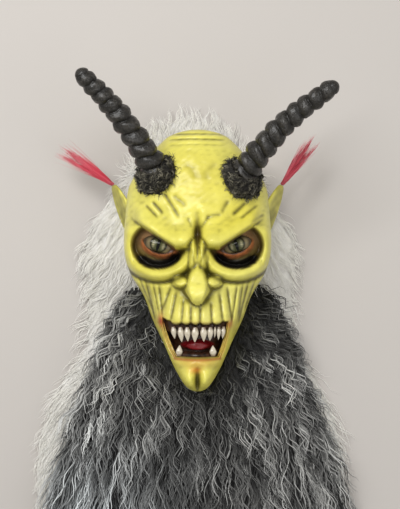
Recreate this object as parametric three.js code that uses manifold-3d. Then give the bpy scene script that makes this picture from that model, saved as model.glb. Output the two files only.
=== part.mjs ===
// A horned demon mask with a fur hood and a fur mantle, lying on its back.
// Lengths are millimetres. The face looks up (+Z), the crown points to +Y and the chin to -Y.
// The origin is on the surface that the mask lies on, under the middle of the face at eye level.
// "left" is the -X side, which is the left side as someone looking at the face sees it.
import * as THREE from "three";
import { mergeVertices } from "three/addons/utils/BufferGeometryUtils.js";
import Module from "manifold-3d";

const wasm = await Module();
wasm.setup();

// Driving sizes
const FACE_WIDTH = 218;
const FACE_LENGTH = 380;
const CROWN_Y = 170;
const SHELL_WALL = 4.5;
const SEAT_GAP = 0.4;
const EAR_GAP = 1;
const FUR_GAP = 1.5;
const HOOD_THICKNESS = 24;
const HORN_ROOT_RADIUS = 20.5;
const HORN_TIP_RADIUS = 10.5;
const HORN_RINGS = 9;
const CUFF_RADIUS = 32;
const CUFF_LENGTH = 40;
const CUFF_EASE = 2;
const EAR_THICKNESS = 15;
const EYE_LENGTH = 46;
const EYE_HEIGHT = 24;
const TOOTH_LENGTH = 20;
const TOOTH_WIDTH = 9.4;
const FANG_LENGTH = 15;
const FANG_WIDTH = 10;
const MANTLE_HEM_Y = -452;
const HOOD_TOP_Y = 194;
const HOOD_END_Y = -462;
const VISION_SLOT_HEIGHT = 6;

// The carving is written for a face 218 wide and 380 long, and follows the real width and length.
const CARVED_WIDTH = 218;
const CARVED_LENGTH = 380;
const acrossScale = FACE_WIDTH / CARVED_WIDTH;
const alongScale = FACE_LENGTH / CARVED_LENGTH;
const onFace = (x, y) => [x * acrossScale, CROWN_Y + (y - 170) * alongScale];

// Small shape functions
const clamp01 = (t) => Math.min(1, Math.max(0, t));
const step = (from, to, t) => {
  const s = clamp01((t - from) / (to - from));
  return s * s * (3 - 2 * s);
};
const bump = (dx, dy, rx, ry) => Math.exp(-((dx / rx) ** 2) - (dy / ry) ** 2);
const mix = (a, b, t) => a + (b - a) * t;

// A smooth curve through [place, value] pairs, as a function of place.
function curveThrough(pairs) {
  const slope = pairs.map((_, i) => {
    const before = pairs[Math.max(0, i - 1)];
    const after = pairs[Math.min(pairs.length - 1, i + 1)];
    return (after[1] - before[1]) / (after[0] - before[0]);
  });
  return (place) => {
    let i = 0;
    while (i < pairs.length - 2 && place > pairs[i + 1][0]) i++;
    const width = pairs[i + 1][0] - pairs[i][0];
    const t = clamp01((place - pairs[i][0]) / width);
    const t2 = t * t;
    const t3 = t2 * t;
    return (
      (2 * t3 - 3 * t2 + 1) * pairs[i][1] +
      (t3 - 2 * t2 + t) * width * slope[i] +
      (3 * t2 - 2 * t3) * pairs[i + 1][1] +
      (t3 - t2) * width * slope[i + 1]
    );
  };
}

// Turns a share of the face's length into the round place that the outline curves use.
const roundPlace = (share) => Math.acos(1 - 2 * clamp01(share)) / Math.PI;

// The face seen from the front: half width as a share, from the crown (0) to the chin (1).
const outlineShare = curveThrough([
  [0, 0],
  [0.055, 0.2],
  [0.105, 0.385],
  [0.142, 0.48],
  [0.2235, 0.69],
  [0.305, 0.915],
  [0.36, 0.965],
  [0.4745, 1],
  [0.5325, 0.925],
  [0.5925, 0.73],
  [0.655, 0.605],
  [0.725, 0.45],
  [0.813, 0.3],
  [0.875, 0.2],
  [0.93, 0.12],
  [1, 0],
]);
// Height of the widest line of the head above the surface that it lies on.
const edgeHeight = curveThrough([
  [0, 95],
  [0.2, 88],
  [0.45, 80],
  [0.6, 84],
  [0.75, 98],
  [0.9, 118],
  [1, 134],
]);
// How far the middle of the face rises over that line.
const faceLift = curveThrough([
  [0, 0],
  [0.055, 18],
  [0.105, 34],
  [0.18, 56],
  [0.265, 75],
  [0.348, 87],
  [0.413, 95],
  [0.4745, 92],
  [0.5325, 86],
  [0.577, 84],
  [0.63, 86],
  [0.705, 76],
  [0.775, 62],
  [0.845, 48],
  [0.91, 30],
  [0.96, 15],
  [1, 0],
]);
const FRONT_FULLNESS = 0.43;

// Carved features, in carving millimetres from the middle of the face at eye level
const BROW = { innerX: 30, innerY: -6, rise: 0.66, endX: 98, height: 17, roll: 30, edge: 5 };
const BROW_KNOB = { x: 31, y: 9, rx: 17, ry: 17, height: 9 };
const GLABELLA = { y: 12, rx: 5.5, ry: 26, depth: 13 };
const SOCKET = { x: 56, y: -1, rx: 39, ry: 33, depth: 25, edge: 0.15 };
const LIDS = { x: 54, y: 0, rx: 31, ry: 19, tilt: 0.29, height: 15 };
const BAG = { ring: 1.27, width: 0.2, height: 10, crease: 1.6, creaseWidth: 0.1, creaseDepth: 7 };
const NOSE = {
  slope: 10,
  halfWidth: curveThrough([[-90, 1], [-84, 4], [-74, 9], [-62, 12], [-46, 10], [-20, 8], [10, 7]]),
  height: curveThrough([[-92, 0], [-87, 14], [-80, 34], [-70, 43], [-52, 38], [-26, 24], [0, 13], [16, 0]]),
};
const WING = { x: 23, y: -55, rx: 10, ry: 9.5, height: 23 };
const MUZZLE = { y: -100, rx: 52, ry: 20, height: 7, lobes: 4, lobeDepth: 2.2, spacing: 18.5 };
const MOUTH = { topY: -111, footY: -160, topHalf: 46.5, footHalf: 30, edge: 3.5, depth: 30 };
const GUM = { depth: 11, upper: 13, lower: 6 };
const TONGUE = { y: -144, rx: 21, ry: 8, height: 13 };
const LOWER_LIP = { y: -166, rx: 34, ry: 6, height: 5 };
const CHIN = { x: 12.5, y: -189, rx: 12, ry: 17, height: 9, cleft: 3.5, cleftDepth: 6 };
const CHEEK_FOLD = { count: 3, spacing: 10, depth: 2.4, topY: -52, footY: -150 };
const CROWN_ROLL = { y: 156, spacing: 9, depth: 2.2, reach: 16 };

const browEdgeY = (x) => BROW.innerY + BROW.rise * Math.max(0, x - BROW.innerX);

// Signed distance inside the mouth's edge, positive inside.
function insideMouth(x, y) {
  const t = clamp01((MOUTH.topY - y) / (MOUTH.topY - MOUTH.footY));
  const half = mix(MOUTH.topHalf, MOUTH.footHalf, t * t * 0.55 + t * 0.45);
  return Math.min(half - Math.abs(x), MOUTH.topY - y, y - MOUTH.footY);
}

function socketRelief(x, y) {
  const e = Math.hypot((x - SOCKET.x) / SOCKET.rx, (y - SOCKET.y) / SOCKET.ry);
  const underBrow = step(0, BROW.edge, browEdgeY(x) - y);
  const c = Math.cos(LIDS.tilt);
  const s = Math.sin(LIDS.tilt);
  const p = c * (x - LIDS.x) + s * (y - LIDS.y);
  const q = -s * (x - LIDS.x) + c * (y - LIDS.y);
  const lids = 1 - step(0.62, 1.05, Math.hypot(p / LIDS.rx, q / LIDS.ry));
  const hollow = 1 - step(1 - SOCKET.edge, 1 + SOCKET.edge / 2, e);
  const bag = Math.exp(-(((e - BAG.ring) / BAG.width) ** 2)) * step(14, -6, y - browEdgeY(x) * 0.5);
  const crease = Math.exp(-(((e - BAG.crease) / BAG.creaseWidth) ** 2)) * step(-20, -34, y);
  return (
    underBrow * hollow * (LIDS.height * lids - SOCKET.depth) +
    BAG.height * bag -
    BAG.creaseDepth * crease
  );
}

function browRelief(x, y) {
  const above = y - browEdgeY(x);
  const roll = step(-1, BROW.edge, above) * (1 - step(BROW.edge, BROW.edge + BROW.roll, above));
  const inward = step(10, 22, x) * (1 - step(BROW.endX - 22, BROW.endX, x));
  const knob = BROW_KNOB.height * bump(x - BROW_KNOB.x, y - BROW_KNOB.y, BROW_KNOB.rx, BROW_KNOB.ry);
  const valley = GLABELLA.depth * bump(x, y - GLABELLA.y, GLABELLA.rx, GLABELLA.ry);
  return BROW.height * roll * inward + knob * step(-1, BROW.edge, above) - valley;
}

function noseRelief(x, y) {
  const half = NOSE.halfWidth(y);
  const ridge = NOSE.height(y) * (1 - step(half * 0.5, half + NOSE.slope, x));
  const wing = WING.height * bump(x - WING.x, y - WING.y, WING.rx, WING.ry);
  return Math.max(ridge, wing) + 0.3 * Math.min(ridge, wing);
}

function mouthRelief(x, y) {
  const inside = insideMouth(x, y);
  const band = Math.max(
    1 - step(GUM.upper - 1, GUM.upper + 3, MOUTH.topY - y),
    1 - step(GUM.lower, GUM.lower + 3, y - MOUTH.footY),
  );
  const tongue = TONGUE.height * (1 - step(0.6, 1, Math.hypot(x / TONGUE.rx, (y - TONGUE.y) / TONGUE.ry)));
  const deep = mix(MOUTH.depth, GUM.depth, band) - tongue * (1 - band);
  const muzzle = MUZZLE.height * bump(x, y - MUZZLE.y, MUZZLE.rx, MUZZLE.ry);
  const lobes =
    MUZZLE.lobeDepth * bump(0, y - MUZZLE.y, 1, MUZZLE.ry) *
    step(MUZZLE.spacing * MUZZLE.lobes * 0.7, MUZZLE.spacing * 2, x) *
    Math.cos((2 * Math.PI * (x + MUZZLE.spacing / 2)) / MUZZLE.spacing);
  const lip = LOWER_LIP.height * bump(x, y - LOWER_LIP.y, LOWER_LIP.rx, LOWER_LIP.ry);
  return muzzle + lobes + lip - deep * step(0, MOUTH.edge, inside);
}

function chinRelief(x, y) {
  const lobe = CHIN.height * bump(x - CHIN.x, y - CHIN.y, CHIN.rx, CHIN.ry);
  const cleft = CHIN.cleftDepth * bump(x, y - CHIN.y, CHIN.cleft, CHIN.ry);
  return lobe - cleft;
}

function foldRelief(x, y) {
  const outside = x - mix(66, 42, clamp01((CHEEK_FOLD.topY - y) / (CHEEK_FOLD.topY - CHEEK_FOLD.footY)));
  const where = step(CHEEK_FOLD.topY + 2, CHEEK_FOLD.topY - 12, y) * step(CHEEK_FOLD.footY - 12, CHEEK_FOLD.footY, y);
  const cheek =
    step(-12, 0, outside) * (1 - step((CHEEK_FOLD.count - 0.5) * CHEEK_FOLD.spacing, CHEEK_FOLD.count * CHEEK_FOLD.spacing, outside)) *
    Math.cos((2 * Math.PI * outside) / CHEEK_FOLD.spacing);
  const crown = bump(0, y - CROWN_ROLL.y, 1, CROWN_ROLL.reach) * Math.cos((2 * Math.PI * (y - CROWN_ROLL.y)) / CROWN_ROLL.spacing);
  return CHEEK_FOLD.depth * where * cheek + CROWN_ROLL.depth * crown * (1 - step(30, 48, x));
}

// The whole carving over the plain head, at x and y in carving millimetres.
function relief(xSigned, y) {
  const x = Math.abs(xSigned);
  return (
    socketRelief(x, y) +
    browRelief(x, y) +
    noseRelief(x, y) +
    mouthRelief(x, y) +
    chinRelief(x, y) +
    foldRelief(x, y)
  );
}

// The lowest carving round a place, which the inside of the shell follows.
const INNER_WINDOW = [-12, -6, 0, 6, 12];
const lowestRelief = (x, y) =>
  Math.min(...INNER_WINDOW.flatMap((dx) => INNER_WINDOW.map((dy) => relief(x + dx, y + dy))));

// Height of the head's surface over a place on the face, carved as asked.
function surfaceZ(x, y, carving) {
  const share = clamp01((CROWN_Y - y) / FACE_LENGTH);
  const place = roundPlace(share);
  const sine = Math.min(1, Math.abs(x) / Math.max(1e-6, (FACE_WIDTH / 2) * outlineShare(place)));
  const cosine = Math.sqrt(1 - sine * sine);
  const fade = step(0, 0.45, cosine) * step(0, 0.03, share) * step(1, 0.97, share);
  const carved = carving(x / acrossScale, 170 + (y - CROWN_Y) / alongScale);
  return edgeHeight(share) + faceLift(place) * cosine ** (2 * FRONT_FULLNESS) + carved * fade;
}

// The head's surface. across runs from -2 (left rim) over the face to 2 (right rim), share from the crown to the chin.
// The mesh lines across the face sweep up at the sides of the eyes, as the brows do.
const WALL_TAPER = 0.1;
const RIM_Z = HOOD_THICKNESS + SEAT_GAP;
const SWEEP = { middleY: 6, reach: 46, from: 30, to: 92, level: 26 };
function headPoint(across, share, carving) {
  const half = (FACE_WIDTH / 2) * outlineShare(roundPlace(share));
  const front = Math.max(-1, Math.min(1, across));
  const angle = (front * Math.PI) / 2;
  const x = half * Math.sin(angle);
  const levelY = CROWN_Y - FACE_LENGTH * share;
  const swept = Math.min(SWEEP.to, Math.max(SWEEP.from, Math.abs(x) / acrossScale)) - SWEEP.from - SWEEP.level;
  const inSweep = bump(0, levelY - SWEEP.middleY, 1, SWEEP.reach) * step(0, 0.4, Math.cos(angle));
  const y = levelY + BROW.rise * swept * inSweep;
  const back = Math.max(0, Math.abs(across) - 1);
  const z = back ? edgeHeight(share) : surfaceZ(x, y, carving);
  const taper = 1 - WALL_TAPER * back;
  return new THREE.Vector3(x * taper, y * (0.4 + 0.6 * taper), mix(z, RIM_Z, back ** 0.9));
}

// Mesh lines, closer together where the carving is finer
const linesOf = (stretches) =>
  stretches.flatMap(([from, to, count], i) =>
    Array.from({ length: count + (i === stretches.length - 1 ? 1 : 0) }, (_, k) => mix(from, to, k / count)),
  );
const HALF_ACROSS = linesOf([
  [0, 0.12, 2],
  [0.12, 0.62, 9],
  [0.62, 1, 3],
  [1, 2, 2],
]);
const ACROSS_LINES = [...HALF_ACROSS.slice(1).reverse().map((a) => -a), ...HALF_ACROSS];
const SHARE_LINES = [
  ...linesOf([[0, 0.26, 7]]).map((place) => (1 - Math.cos(Math.PI * place)) / 2),
  ...linesOf([
    [0.2, 0.36, 4],
    [0.375, 0.6, 15],
    [0.62, 0.72, 5],
    [0.735, 0.88, 8],
  ]),
  ...linesOf([[0.79, 1, 5]]).map((place) => (1 - Math.cos(Math.PI * place)) / 2),
];

const gridOf = (rows, columns, point) => rows.map((r) => columns.map((c) => point(c, r)));

// Triangles collected one by one; those with no area are left out.
class Faces {
  constructor() {
    this.places = [];
  }
  add(a, b, c) {
    const area = new THREE.Vector3().subVectors(b, a).cross(new THREE.Vector3().subVectors(c, a)).length();
    if (area > 1e-5) for (const p of [a, b, c]) this.places.push(p.x, p.y, p.z);
  }
  quad(a, b, c, d) {
    const across = a.distanceTo(c) < b.distanceTo(d);
    this.add(a, b, across ? c : d);
    this.add(across ? a : b, c, d);
  }
  grid(points, reversed = false) {
    for (let r = 0; r + 1 < points.length; r++) {
      for (let c = 0; c + 1 < points[r].length; c++) {
        const [a, b, d, e] = [points[r][c], points[r + 1][c], points[r + 1][c + 1], points[r][c + 1]];
        if (reversed) this.quad(a, e, d, b);
        else this.quad(a, b, d, e);
      }
    }
  }
  geometry() {
    const made = new THREE.BufferGeometry();
    made.setAttribute("position", new THREE.Float32BufferAttribute(this.places, 3));
    return mergeVertices(made, 1e-3);
  }
}

// Between three.js geometry and manifold-3d solids
function solidOf(geometry) {
  const bare = geometry.clone();
  for (const name of Object.keys(bare.attributes)) if (name !== "position") bare.deleteAttribute(name);
  const merged = mergeVertices(bare, 1e-3);
  const triangles = [];
  const index = merged.index.array;
  for (let i = 0; i < index.length; i += 3) {
    const [a, b, c] = [index[i], index[i + 1], index[i + 2]];
    if (a !== b && b !== c && a !== c) triangles.push(a, b, c);
  }
  return new wasm.Manifold(
    new wasm.Mesh({
      numProp: 3,
      vertProperties: Float32Array.from(merged.attributes.position.array),
      triVerts: Uint32Array.from(triangles),
    }),
  );
}

function geometryOf(solid) {
  const mesh = solid.getMesh();
  const made = new THREE.BufferGeometry();
  made.setAttribute("position", new THREE.BufferAttribute(mesh.vertProperties, mesh.numProp));
  made.setIndex(new THREE.BufferAttribute(mesh.triVerts, 1));
  return made;
}

const largestOf = (solid) => solid.decompose().reduce((a, b) => (a.volume() > b.volume() ? a : b));

// Outward normals at the points of a grid, shared where points coincide.
function normalsOf(points) {
  const sums = new Map();
  const keyOf = (p) => [p.x, p.y, p.z].map((v) => v.toFixed(3)).join();
  const give = (p, n) => {
    const key = keyOf(p);
    sums.set(key, (sums.get(key) ?? new THREE.Vector3()).add(n));
  };
  for (let r = 0; r + 1 < points.length; r++) {
    for (let c = 0; c + 1 < points[r].length; c++) {
      const quad = [points[r][c], points[r + 1][c], points[r + 1][c + 1], points[r][c + 1]];
      const n = new THREE.Vector3()
        .subVectors(quad[2], quad[0])
        .cross(new THREE.Vector3().subVectors(quad[3], quad[1]));
      for (const p of quad) give(p, n);
    }
  }
  return points.map((row) => row.map((p) => sums.get(keyOf(p)).clone().normalize()));
}

// The grid moved along its normals, its rim kept at the rim's own height.
function movedGrid(points, distance) {
  const normals = normalsOf(points);
  const last = points[0].length - 1;
  return points.map((row, r) =>
    row.map((p, c) => {
      const moved = p.clone().addScaledVector(normals[r][c], distance);
      if (c === 0 || c === last) moved.z = p.z;
      return moved;
    }),
  );
}

// A closed solid over a grid of the head, down to a flat bottom.
function filledHead(points, bottomZ) {
  const faces = new Faces();
  const last = points[0].length - 1;
  const lowered = points.map((row) => {
    const copy = row.map((p) => p.clone());
    for (const c of [0, last]) copy[c].z = bottomZ;
    return copy;
  });
  faces.grid(lowered);
  for (let r = 0; r + 1 < lowered.length; r++) {
    faces.quad(lowered[r][0], lowered[r][last], lowered[r + 1][last], lowered[r + 1][0]);
  }
  return solidOf(faces.geometry());
}

const everySecond = (list) => list.filter((_, i) => i % 2 === 0);
const outerGrid = gridOf(SHARE_LINES, ACROSS_LINES, (a, s) => headPoint(a, s, relief));
const headMiddleY = CROWN_Y - FACE_LENGTH / 2;
const innerGrid = gridOf(everySecond(SHARE_LINES), everySecond(ACROSS_LINES), (a, s) => {
  const p = headPoint(a, s, lowestRelief);
  p.x *= 1 - SHELL_WALL / (FACE_WIDTH / 2);
  p.y = mix(p.y, headMiddleY, SHELL_WALL / (FACE_LENGTH / 2));
  p.z -= SHELL_WALL;
  return p;
});

// A closed solid through rings of points, from its first ring to its last.
function loft(rings) {
  const faces = new Faces();
  const centre = (ring) => ring.reduce((sum, p) => sum.add(p), new THREE.Vector3()).divideScalar(ring.length);
  const closed = rings.map((ring) => [...ring, ring[0]]);
  faces.grid(closed);
  const first = centre(rings[0]);
  const last = centre(rings.at(-1));
  for (let i = 0; i < rings[0].length; i++) {
    faces.add(first, closed[0][i], closed[0][i + 1]);
    faces.add(last, closed.at(-1)[i + 1], closed.at(-1)[i]);
  }
  const made = solidOf(faces.geometry());
  if (made.volume() > 0) return made;
  const turned = new Faces();
  const mirrored = rings.map((ring) => [...ring].reverse());
  const again = mirrored.map((ring) => [...ring, ring[0]]);
  turned.grid(again);
  for (let i = 0; i < rings[0].length; i++) {
    turned.add(first, again[0][i], again[0][i + 1]);
    turned.add(last, again.at(-1)[i + 1], again.at(-1)[i]);
  }
  return solidOf(turned.geometry());
}

// Rings along a curve. size(t, angle) gives how far the ring's point is from the curve along its two cross directions.
function ringsAlong(curve, steps, sides, sideways, size) {
  return Array.from({ length: steps + 1 }, (_, k) => {
    const t = k / steps;
    const p = curve.getPoint(t);
    const along = curve.getTangent(t);
    const wide = sideways.clone().addScaledVector(along, -sideways.dot(along)).normalize();
    const thick = new THREE.Vector3().crossVectors(along, wide);
    return Array.from({ length: sides }, (_, i) => {
      const [w, h, l = 0] = size(t, (2 * Math.PI * i) / sides);
      return p.clone().addScaledVector(wide, w).addScaledVector(thick, h).addScaledVector(along, l);
    });
  });
}

const point = (x, y, z) => new THREE.Vector3(...onFace(x, y), z);

// Horns: root on the forehead, then out and up
const HORN_CURVES = {
  left: new THREE.CatmullRomCurve3([point(-49, 84, 128), point(-64, 114, 162), point(-112, 184, 192), point(-158, 231, 216)]),
  right: new THREE.CatmullRomCurve3([point(52, 78, 128), point(70, 108, 162), point(124, 170, 192), point(184, 214, 216)]),
};
const HORN_STEPS = 36;
const HORN_SIDES = 9;
const RING_SWELL = 0.11;
const RING_SLANT = 0.55;
const HORN_BURIED = 0.16;
const SIDEWAYS = new THREE.Vector3(1, 0, 0);

function hornRadius(t, angle) {
  const bare = mix(HORN_ROOT_RADIUS, HORN_TIP_RADIUS, clamp01(t) ** 1.25);
  const ringed = step(HORN_BURIED, HORN_BURIED + 0.06, t) * (1 - step(0.93, 1, t));
  const phase = HORN_RINGS * ((t - HORN_BURIED) / (1 - HORN_BURIED)) + (RING_SLANT * Math.cos(angle)) / Math.PI;
  const swell = RING_SWELL * ringed * Math.cos(2 * Math.PI * phase);
  const tip = Math.sqrt(Math.max(0, 1 - clamp01((t - 0.95) / 0.052) ** 2));
  return bare * (1 + swell) * Math.max(tip, 0.12);
}

function hornSolid(side) {
  const size = (t, angle) => {
    const r = hornRadius(t, angle);
    return [r * Math.cos(angle), r * Math.sin(angle)];
  };
  return loft(ringsAlong(HORN_CURVES[side], HORN_STEPS, HORN_SIDES, SIDEWAYS, size));
}

// Cuffs of curly fur round the horns' roots, each with a smooth hole that clears the horn's rings
const CUFF_STEPS = 6;
const CUFF_SIDES = 12;
const CUFF_HOLE_STEPS = 3;
const CUFF_HOLE_END = 0.55;
function cuffHole(side) {
  const horn = HORN_CURVES[side];
  const places = Array.from({ length: 5 }, (_, k) => horn.getPoint((CUFF_HOLE_END * k) / 4));
  const radius = HORN_ROOT_RADIUS * (1 + RING_SWELL) + CUFF_EASE;
  const size = (t, angle) => {
    const r = radius - (HORN_ROOT_RADIUS - HORN_TIP_RADIUS) * (CUFF_HOLE_END * t) ** 1.25;
    return [r * Math.cos(angle), r * Math.sin(angle)];
  };
  return loft(ringsAlong(new THREE.CatmullRomCurve3(places), CUFF_HOLE_STEPS, CUFF_SIDES, SIDEWAYS, size));
}

function cuffSolid(side) {
  const horn = HORN_CURVES[side];
  const reach = HORN_BURIED * 0.9 + CUFF_LENGTH / horn.getLength();
  const start = 0.03;
  const stretch = new THREE.CatmullRomCurve3(Array.from({ length: 5 }, (_, k) => horn.getPoint(mix(start, reach, k / 4))));
  const size = (t, angle) => {
    const round = Math.sqrt(Math.max(0, 1 - clamp01((t - 0.55) / 0.46) ** 2));
    const r = mix(HORN_ROOT_RADIUS - 2, CUFF_RADIUS, round) * mix(1.05, 0.95, t);
    return [r * Math.cos(angle), r * Math.sin(angle)];
  };
  return loft(ringsAlong(stretch, CUFF_STEPS, CUFF_SIDES, SIDEWAYS, size));
}

// Ears: pointed, cupped leaves, cast with the shell
const EAR_STEPS = 6;
const EAR_SIDES = 8;
const EAR_WIDTH = 46;
const EAR_CUP = 7;
const earCurve = (sign) =>
  new THREE.CatmullRomCurve3([point(sign * 90, 12, 66), point(sign * 110, 56, 66), point(sign * 126, 90, 68)]);
function earSolid(sign, extra) {
  const size = (t, angle) => {
    const wide = (EAR_WIDTH / 2) * Math.sqrt(Math.max(0, 1 - t ** 2.2)) * mix(0.85, 1, Math.sin(Math.PI * t)) + 3;
    const w = (wide + extra) * Math.cos(angle);
    const cup = EAR_CUP * (Math.cos(angle) ** 2 - 0.4) * sign;
    const thick = (EAR_THICKNESS / 2) * mix(1, 0.4, t) + extra;
    return [w, thick * Math.sin(angle) + cup * (1 - t), extra * (2 * t - 1)];
  };
  return loft(ringsAlong(earCurve(sign), EAR_STEPS, EAR_SIDES, new THREE.Vector3(0, 0, 1), size));
}

// Tufts of stiff hair on the ear tips
const TUFT_STEPS = 7;
const TUFT_SIDES = 6;
const TUFT_HALF_WIDTH = 9.5;
const TUFT_HALF_THICKNESS = 3.2;
const TUFT_ENDS = { left: point(-202, 138, 58), right: point(176, 156, 62) };
function tuftSolid(side) {
  const ear = earCurve(side === "left" ? -1 : 1);
  const away = ear.getTangent(1);
  const from = ear.getPoint(1).addScaledVector(away, SEAT_GAP);
  const end = TUFT_ENDS[side];
  const curve = new THREE.CatmullRomCurve3([from, from.clone().lerp(end, 0.45).addScaledVector(away, 6), end]);
  const size = (t, angle) => {
    const swell = mix(0.42, 1, step(0, 0.4, t)) * (1 - 0.9 * step(0.4, 1, t));
    return [TUFT_HALF_WIDTH * swell * Math.cos(angle), TUFT_HALF_THICKNESS * swell * Math.sin(angle)];
  };
  const tuft = loft(ringsAlong(curve, TUFT_STEPS, TUFT_SIDES, new THREE.Vector3(0, 1, 0), size));
  return largestOf(tuft.subtract(earSolid(side === "left" ? -1 : 1, SEAT_GAP)));
}

// Eyes: domed ovals between the lids
const EYE_DOME = 11;
const EYE_SINK = 1.5;
function eyeSolid(sign, seat) {
  const [x, y] = onFace(sign * LIDS.x, LIDS.y);
  const lidTop = surfaceZ(x, y, relief);
  const dome = new THREE.SphereGeometry(1, 12, 6);
  dome.scale(EYE_LENGTH / 2, EYE_HEIGHT / 2, EYE_DOME);
  dome.rotateZ(sign * LIDS.tilt);
  dome.translate(x, y, lidTop - EYE_SINK);
  return largestOf(solidOf(dome).subtract(seat));
}

// Teeth: flattened petals, blunt at the root and pointed at the tip
const TOOTH_THICKNESS = 6;
const TOOTH_STEPS = 4;
const TOOTH_SIDES = 6;
const UPPER_TEETH = [
  { x: -34, lean: 0.12, length: 0.85, width: 0.9 },
  { x: -24, lean: 0.1, length: 1.05, width: 1 },
  { x: -14.5, lean: 0.06, length: 0.98, width: 1 },
  { x: -3, lean: -0.03, length: 1.05, width: 1.1 },
  { x: 8.5, lean: 0.02, length: 1, width: 1.05 },
  { x: 18.2, lean: -0.04, length: 0.95, width: 0.95 },
  { x: 24.8, lean: -0.04, length: 0.75, width: 0.45 },
  { x: 30.2, lean: -0.04, length: 0.92, width: 0.7 },
  { x: 36.8, lean: -0.08, length: 0.85, width: 0.75 },
];
const FANGS = { left: { x: -26, lean: 0.06 }, right: { x: 22, lean: -0.02 } };
const UPPER_ROOT_Y = -115.5;
const LOWER_ROOT_Y = -157;
const TOOTH_LIFT = 2;
const gumPoint = (x, y) => {
  const [px, py] = onFace(x, y);
  return new THREE.Vector3(px, py, surfaceZ(px, py, relief) + TOOTH_LIFT);
};
function toothSolid(root, lean, length, width, direction, seat) {
  const tip = root.clone().add(new THREE.Vector3(lean * length, direction * length, -0.5));
  const curve = new THREE.LineCurve3(root, tip);
  const size = (t, angle) => {
    const wide = (width / 2) * Math.sqrt(mix(0.45, 1, step(0, 0.25, t))) * (1 - 0.86 * clamp01((t - 0.3) / 0.7) ** 1.2);
    return [wide * Math.cos(angle), (TOOTH_THICKNESS / 2) * (wide / (width / 2)) * Math.sin(angle)];
  };
  return largestOf(loft(ringsAlong(curve, TOOTH_STEPS, TOOTH_SIDES, SIDEWAYS, size)).subtract(seat));
}

// A solid between two heights over a field of widths: rows along -Y, columns across.
function fieldSolid(rows, columns, halfWidth, middle, top, bottomZ) {
  const grid = gridOf(rows, columns, (c, y) => {
    const x = middle(y) + halfWidth(y) * c;
    return new THREE.Vector3(x, y, top(x, y, c));
  });
  const floor = grid.map((row) => row.map((p) => new THREE.Vector3(p.x, p.y, bottomZ)));
  const faces = new Faces();
  const last = columns.length - 1;
  faces.grid(grid);
  for (let r = 0; r + 1 < rows.length; r++) {
    faces.quad(floor[r][0], floor[r][last], floor[r + 1][last], floor[r + 1][0]);
    faces.quad(grid[r][0], floor[r][0], floor[r + 1][0], grid[r + 1][0]);
    faces.quad(grid[r + 1][last], floor[r + 1][last], floor[r][last], grid[r][last]);
  }
  for (const [r, turned] of [
    [0, false],
    [rows.length - 1, true],
  ]) {
    for (let c = 0; c < last; c++) {
      const [a, b] = [grid[r][c], grid[r][c + 1]];
      const corner = floor[r][0];
      turned ? faces.add(a, corner, b) : faces.add(a, b, corner);
    }
    const [a, b, c] = [grid[r][last], floor[r][0], floor[r][last]];
    turned ? faces.add(a, b, c) : faces.add(a, c, b);
  }
  return solidOf(faces.geometry());
}

// White fur hood: a long pad under the head and the mantle, heaped up round the head
const HOOD_MIDDLE_X = -12;
const HOOD_EDGE = 9;
const HOOD_HEAP = 58;
const hoodHalfWidth = curveThrough([
  [HOOD_END_Y, 196],
  [-440, 250],
  [-380, 264],
  [-300, 258],
  [-220, 226],
  [-150, 180],
  [-80, 166],
  [0, 170],
  [32, 158],
  [78, 120],
  [115, 96],
  [150, 80],
  [178, 56],
  [HOOD_TOP_Y, 24],
]);
function hoodTop(extra) {
  return (x, y, c) => {
    const e = Math.abs(c);
    const heaped = step(-105, -30, y) * (1 - 0.75 * step(150, HOOD_TOP_Y, y));
    const pad = HOOD_EDGE + (HOOD_THICKNESS - HOOD_EDGE) * Math.min(1, 3.2 * (1 - e));
    const heap = HOOD_HEAP * Math.sqrt(Math.max(0, 1 - e * e)) * heaped;
    const end = mix(0.45, 1, step(HOOD_END_Y, HOOD_END_Y + 30, y));
    return Math.max(pad * end, HOOD_EDGE + heap) + extra;
  };
}
const HOOD_ROWS = linesOf([
  [HOOD_TOP_Y, 150, 3],
  [135, -120, 8],
  [-155, HOOD_END_Y + 24, 6],
  [HOOD_END_Y + 16, HOOD_END_Y, 2],
]);
const HOOD_COLUMNS = [-1, -0.94, -0.82, -0.64, -0.3, 0.3, 0.64, 0.82, 0.94, 1];
const hoodBody = (extra) => fieldSolid(HOOD_ROWS, HOOD_COLUMNS, hoodHalfWidth, () => HOOD_MIDDLE_X, hoodTop(extra), 0);

// Grey fur mantle: an arch of long fur from the jaw down over the hood
const MANTLE_TOP_Y = -46;
const MANTLE_EDGE = 34;
const mantleHalfWidth = curveThrough([
  [MANTLE_HEM_Y, 214],
  [-430, 240],
  [-388, 240],
  [-292, 217],
  [-243, 201],
  [-195, 181],
  [-150, 158],
  [-112, 133],
  [-75, 114],
  [MANTLE_TOP_Y, 100],
]);
const mantleCrest = curveThrough([
  [MANTLE_HEM_Y, 46],
  [-430, 74],
  [-350, 92],
  [-260, 102],
  [-200, 103],
  [-120, 88],
  [-75, 66],
  [MANTLE_TOP_Y, 36],
]);
const mantleTop = (x, y, c) => MANTLE_EDGE + (mantleCrest(y) - MANTLE_EDGE) * Math.max(0, 1 - c * c) ** 0.62;
const MANTLE_ROWS = [...linesOf([[MANTLE_TOP_Y, -430, 10]]), MANTLE_HEM_Y];
const MANTLE_COLUMNS = [-1, -0.94, -0.8, -0.6, -0.32, 0, 0.32, 0.6, 0.8, 0.94, 1];

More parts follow.
